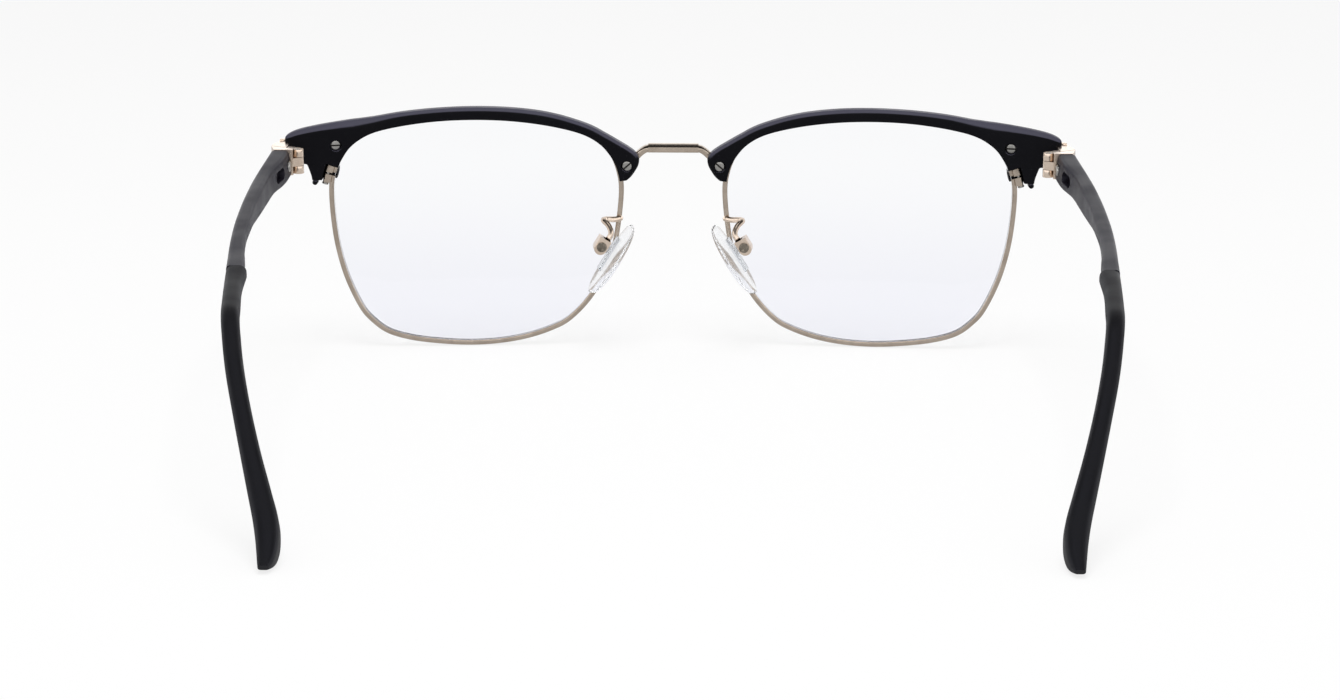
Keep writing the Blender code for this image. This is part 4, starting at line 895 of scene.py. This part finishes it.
# Rows of a share of the length, then the outer and inner face in shares of the temple's reach, and the
# section's height in shares of the tip's height
tip_rows = (
    (0.0, 0.74, 0.175, 0.55), (0.12, 0.63, 0.14, 0.56), (0.25, 0.5, 0.0, 0.6),
    (0.34, 0.4, -0.09, 0.64), (0.42, 0.28, -0.205, 0.7), (0.5, 0.12, -0.375, 0.76),
    (0.6, -0.135, -0.64, 0.84), (0.7, -0.4, -0.945, 0.92), (0.8, -0.67, -1.29, 1.0),
    (0.87, -0.86, -1.52, 1.02), (0.92, -0.97, -1.58, 0.97), (0.96, -1.04, -1.55, 0.8),
    (0.985, -1.08, -1.48, 0.52), (1.0, -1.11, -1.39, 0.25),
)


def tip_edge(along):
    """Where the tip's top edge runs at a length from the hinge, and how far it has turned down."""
    arc = tip_bend_radius * tip_bend
    start = tip_bend_along - arc / 2
    turn = min(max((along - start) / tip_bend_radius, 0), tip_bend)
    past = max(along - start - arc, 0)
    y = min(along, start) + tip_bend_radius * math.sin(turn) + past * math.cos(turn)
    return y, temple_top - tip_bend_radius * (1 - math.cos(turn)) - past * math.sin(turn), turn


def tip_mesh():
    """The sleeve with rounded corners, bent down behind the ear and thicker at its end."""
    rings = []
    for i in range(tip_steps + 1):
        outer, inner, high = read_rows(tip_rows, i / tip_steps)
        y, z, turn = tip_edge(tip_start + tip_length * i / tip_steps)
        outer *= temple_reach
        inner *= temple_reach
        low = -high * tip_height
        corner = tip_corner_share * min(-low, outer - inner)
        corners = ((outer, low), (outer, 0), (inner, 0), (inner, low))
        section = rounded(corners, [corner] * len(corners), tip_corner_steps)
        ring = [Vector((x, y + down * math.sin(turn), z + down * math.cos(turn))) for x, down in section]
        rings.append(ring)
    return body_through(rings)


tip_plastic = moulded_plastic("soft_tip", tip_face, tip_worn, tip_roughness, tip_grain_scale, tip_gloss)
for side in sides:
    stand_in(
        f"{side}_temple_tip",
        f"{side}_bent_tip",
        tip_mesh(),
        temple_place,
        tip_plastic,
        f"{side}_temple",
        temple_crease,
    )
    dress(f"{side}_core_wire", screw_steel)

# Pad arms
# The real piece is a rose-gold wire, soldered to the eyewire and bent in a loop.
# It ends in a small slotted box that holds the ear of the nose pad with a screw.

plating_swell = 0.00007
pad_screw_pale = (0.30, 0.265, 0.22, 1)
pad_screw_dark = (0.16, 0.14, 0.115, 1)

pad_screw_metal = plated_metal("pad_screw_metal", pad_screw_pale, pad_screw_dark, steel_roughness)
for side in sides:
    arm = dress(f"{side}_pad_arm", hinge_gold, screw_edge_width)
    plating = arm.modifiers.new("solder_and_plating", "DISPLACE")
    plating.mid_level = 0
    plating.strength = plating_swell
    dress(f"{side}_pad_screw", pad_screw_metal, screw_edge_width)

# Nose pads
# The real piece is clear soft silicone, moulded over a stiff clear core with an ear.
# The ear sits in the pad arm's box, so the pad can rock a little on its screw. The indices are under
# the real ones, so that the thick edges stay pale.

silicone = (0.97, 0.975, 0.985, 1)
silicone_index = 1.15
silicone_roughness = (0.12, 0.20)
silicone_clear_share = 0.92
core_clear = (0.84, 0.86, 0.88, 1)
core_index = 1.30
core_clear_share = 0.9
clear_cloud_scale = 640
clear_cloud_detail = 3
pad_pivot = Vector((lens_gap / 2 + 0.00337, 0.0058, -0.00185))
pad_lean = math.radians(32)
pad_splay = math.radians(8)
pad_length = 0.0143
pad_width = 0.0074
pad_dome = 0.0013
pad_edge = 0.0009
pad_stand_off = 0.0023
pad_drop = 0.00115
pad_egg_share = 0.14
pad_dome_turn = math.radians(88)
pad_sides = 72
pad_dome_steps = 9
# The pad's edge: shares of its thickness and of the outline there
pad_edge_shares = ((0.0, 0.88), (0.07, 0.95), (0.25, 0.99), (0.5, 1.0), (0.75, 0.995), (1.0, 0.97))


def pad_mesh():
    """The domed pad: an egg outline, a soft edge and a dome towards the nose."""
    levels = [(-pad_stand_off - pad_edge * deep, share) for deep, share in pad_edge_shares]
    last_depth, last_share = levels[-1]
    for i in range(1, pad_dome_steps + 1):
        angle = pad_dome_turn * i / pad_dome_steps
        levels.append((last_depth - pad_dome * math.sin(angle), last_share * math.cos(angle)))
    rings = []
    for out, share in levels:
        ring = []
        for i in range(pad_sides):
            angle = math.tau * i / pad_sides
            across = math.cos(angle) * pad_width / 2 * (1 - pad_egg_share * math.sin(angle)) * share
            ring.append(Vector((out, across, math.sin(angle) * pad_length / 2 * share - pad_drop)))
        rings.append(ring)
    return body_through(rings)


def clear_plastic(name, colour, index, clear_share):
    """Clear plastic whose gloss varies a little."""
    material, tree, shader = new_material(name)
    shader.inputs["Transmission Weight"].default_value = clear_share
    shader.inputs["IOR"].default_value = index
    shader.inputs["Base Color"].default_value = colour
    clouds = cloud(tree, clear_cloud_scale, clear_cloud_detail)
    tree.links.new(between(tree, clouds, *silicone_roughness), shader.inputs["Roughness"])
    return material


pad_silicone = clear_plastic("clear_silicone", silicone, silicone_index, silicone_clear_share)
pad_core = clear_plastic("clear_core", core_clear, core_index, core_clear_share)
pad_turn = Matrix.Rotation(-pad_lean, 4, "Y") @ Matrix.Rotation(pad_splay, 4, "Z")
pad_place = front_place @ Matrix.Translation(pad_pivot) @ pad_turn
for side in sides:
    stand_in(
        f"{side}_nose_pad",
        f"{side}_domed_pad",
        pad_mesh(),
        pad_place,
        pad_silicone,
        f"{side}_nose_pad_piece",
        temple_crease,
    )
    dress(f"{side}_pad_mount", pad_core)

# Table
# A plain white top runs far past the spectacles, and it keeps only a faint shadow.
# It is not part of the object.

table_half = 2.0
table_corner_ways = ((-1, -1), (1, -1), (1, 1), (-1, 1))
table_white = (0.93, 0.93, 0.93, 1)
table_roughness = 0.9
table_glow_share = 0.80
table_gloss_glow = 0.62


def reflection_only(tree, path):
    """1 for a ray that left a shiny surface and hasn't gone through a clear piece."""
    only = tree.nodes.new("ShaderNodeMath")
    only.operation = "SUBTRACT"
    only.use_clamp = True
    tree.links.new(path.outputs["Is Glossy Ray"], only.inputs[0])
    tree.links.new(path.outputs["Is Transmission Ray"], only.inputs[1])
    return only.outputs["Value"]


def white_table():
    """Plain white, with a glow wherever it is seen, also through a lens and in a reflection."""
    material, tree, shader = new_material("white_table")
    shader.inputs["Base Color"].default_value = table_white
    shader.inputs["Roughness"].default_value = table_roughness
    output = tree.nodes["Material Output"]
    glow = tree.nodes.new("ShaderNodeEmission")
    path = tree.nodes.new("ShaderNodeLightPath")
    seen = tree.nodes.new("ShaderNodeMath")
    seen.operation = "MAXIMUM"
    through = tree.nodes.new("ShaderNodeMath")
    through.operation = "MAXIMUM"
    share = tree.nodes.new("ShaderNodeMath")
    share.operation = "MULTIPLY"
    share.inputs[1].default_value = table_glow_share
    mix = tree.nodes.new("ShaderNodeMixShader")
    tree.links.new(path.outputs["Is Camera Ray"], seen.inputs[0])
    tree.links.new(path.outputs["Is Glossy Ray"], seen.inputs[1])
    in_gloss = tree.nodes.new("ShaderNodeMapRange")
    in_gloss.inputs["To Min"].default_value = 1.0
    in_gloss.inputs["To Max"].default_value = table_gloss_glow
    tree.links.new(reflection_only(tree, path), in_gloss.inputs["Value"])
    tree.links.new(in_gloss.outputs["Result"], glow.inputs["Strength"])
    tree.links.new(seen.outputs["Value"], through.inputs[0])
    tree.links.new(path.outputs["Is Transmission Ray"], through.inputs[1])
    tree.links.new(through.outputs["Value"], share.inputs[0])
    tree.links.new(share.outputs["Value"], mix.inputs["Fac"])
    tree.links.new(shader.outputs["BSDF"], mix.inputs[1])
    tree.links.new(glow.outputs["Emission"], mix.inputs[2])
    tree.links.new(mix.outputs["Shader"], output.inputs["Surface"])
    return material


table_mesh = bpy.data.meshes.new("table")
table_corners = [(x * table_half, y * table_half, 0) for x, y in table_corner_ways]
table_mesh.from_pydata(table_corners, [], [range(len(table_corners))])
table_mesh.materials.append(white_table())
table = bpy.data.objects.new("table", table_mesh)
bpy.context.scene.collection.objects.link(table)

# Light
# One large soft lamp hangs over the spectacles and a second stands behind the camera, low and weak.
# The world is white where it is seen and dimmer where it lights the pieces. Reflections see a room that
# is bright low down and dark overhead, but for one soft bright patch.

world_light = 0.55
room_bright_below = math.sin(math.radians(20))
room_dark_above = math.sin(math.radians(44))
room_ceiling = 0.04
room_horizon = 1.5
softbox_way = Vector((0, 0.27, 0.96)).normalized()
softbox_inner = math.cos(math.radians(9))
softbox_outer = math.cos(math.radians(24))
softbox_strength = 1.6
overhead_power = 2.2
overhead_size = 0.35
overhead_place = Vector((0, 0.12, 0.62))
overhead_aim = Vector((0, -0.04, 0.03))
rear_power = 0.5
rear_size = 0.5
rear_place = Vector((0.25, 0.75, 0.42))
rear_aim = Vector((0, -0.02, 0.02))


def soft_lamp(name, place, aim, size, power):
    """A square lamp that reflections don't show."""
    lamp = bpy.data.lights.new(name, "AREA")
    lamp.size = size
    lamp.energy = power
    holder = bpy.data.objects.new(name, lamp)
    holder.location = place
    holder.rotation_euler = (aim - place).to_track_quat("-Z", "Y").to_euler()
    holder.visible_glossy = False
    bpy.context.scene.collection.objects.link(holder)


soft_lamp("overhead_lamp", overhead_place, overhead_aim, overhead_size, overhead_power)
soft_lamp("rear_lamp", rear_place, rear_aim, rear_size, rear_power)

world = bpy.data.worlds.new("white_room")
world.use_nodes = True
bpy.context.scene.world = world
world_tree = world.node_tree
background = world_tree.nodes["Background"]
background.inputs["Color"].default_value = (1, 1, 1, 1)
path = world_tree.nodes.new("ShaderNodeLightPath")
seen = world_tree.nodes.new("ShaderNodeMath")
seen.operation = "MAXIMUM"
world_tree.links.new(path.outputs["Is Camera Ray"], seen.inputs[0])
world_tree.links.new(path.outputs["Is Transmission Ray"], seen.inputs[1])
lighting = world_tree.nodes.new("ShaderNodeMapRange")
lighting.inputs["To Min"].default_value = world_light
lighting.inputs["To Max"].default_value = 1.0
world_tree.links.new(seen.outputs["Value"], lighting.inputs["Value"])
way = world_tree.nodes.new("ShaderNodeTexCoord")
way_parts = world_tree.nodes.new("ShaderNodeSeparateXYZ")
world_tree.links.new(way.outputs["Generated"], way_parts.inputs["Vector"])
room = world_tree.nodes.new("ShaderNodeMapRange")
room.interpolation_type = "SMOOTHSTEP"
room.inputs["From Min"].default_value = room_bright_below
room.inputs["From Max"].default_value = room_dark_above
room.inputs["To Min"].default_value = room_horizon
room.inputs["To Max"].default_value = room_ceiling
world_tree.links.new(way_parts.outputs["Z"], room.inputs["Value"])
towards = world_tree.nodes.new("ShaderNodeVectorMath")
towards.operation = "DOT_PRODUCT"
towards.inputs[1].default_value = softbox_way
world_tree.links.new(way.outputs["Generated"], towards.inputs[0])
softbox = world_tree.nodes.new("ShaderNodeMapRange")
softbox.interpolation_type = "SMOOTHSTEP"
softbox.inputs["From Min"].default_value = softbox_outer
softbox.inputs["From Max"].default_value = softbox_inner
softbox.inputs["To Max"].default_value = softbox_strength
world_tree.links.new(towards.outputs["Value"], softbox.inputs["Value"])
gloss = world_tree.nodes.new("ShaderNodeMath")
world_tree.links.new(room.outputs["Result"], gloss.inputs[0])
world_tree.links.new(softbox.outputs["Result"], gloss.inputs[1])
level = world_tree.nodes.new("ShaderNodeMapRange")
world_tree.links.new(reflection_only(world_tree, path), level.inputs["Value"])
world_tree.links.new(lighting.outputs["Result"], level.inputs["To Min"])
world_tree.links.new(gloss.outputs["Value"], level.inputs["To Max"])
world_tree.links.new(level.outputs["Result"], background.inputs["Strength"])

# Camera
# It stands behind the temples, a little above the lenses, with a long lens.
# The place is given from the middle between the lenses, which lies in front of the hinges.

camera_rise = math.radians(14.7)
camera_roll = math.radians(0.3)
camera_distance = 0.601
camera_drop = 0.0215
camera_aside = 0.00041
camera_focal = 90
camera_sensor = 36
camera_near = 0.01
camera_far = 20
hinge_from_middle = Vector((0, 0.0123, 0.0148))

middle = Vector((0, hinge_place.y, hinge_place.z)) - hinge_from_middle
camera_back = Vector((0, math.cos(camera_rise), math.sin(camera_rise)))
camera_up = Vector((0, -math.sin(camera_rise), math.cos(camera_rise)))
camera_right = Vector((-1, 0, 0))
camera_place = middle + camera_back * camera_distance - camera_up * camera_drop - camera_right * camera_aside
camera = bpy.data.cameras.new("camera")
camera.lens = camera_focal
camera.sensor_width = camera_sensor
camera.clip_start = camera_near
camera.clip_end = camera_far
camera_holder = bpy.data.objects.new("camera", camera)
turn = Matrix((camera_right, camera_up, camera_back)).transposed().to_4x4()
camera_holder.matrix_world = Matrix.Translation(camera_place) @ turn @ Matrix.Rotation(camera_roll, 4, "Z")
bpy.context.scene.collection.objects.link(camera_holder)
bpy.context.scene.camera = camera_holder
bpy.context.scene.view_settings.view_transform = "Standard"
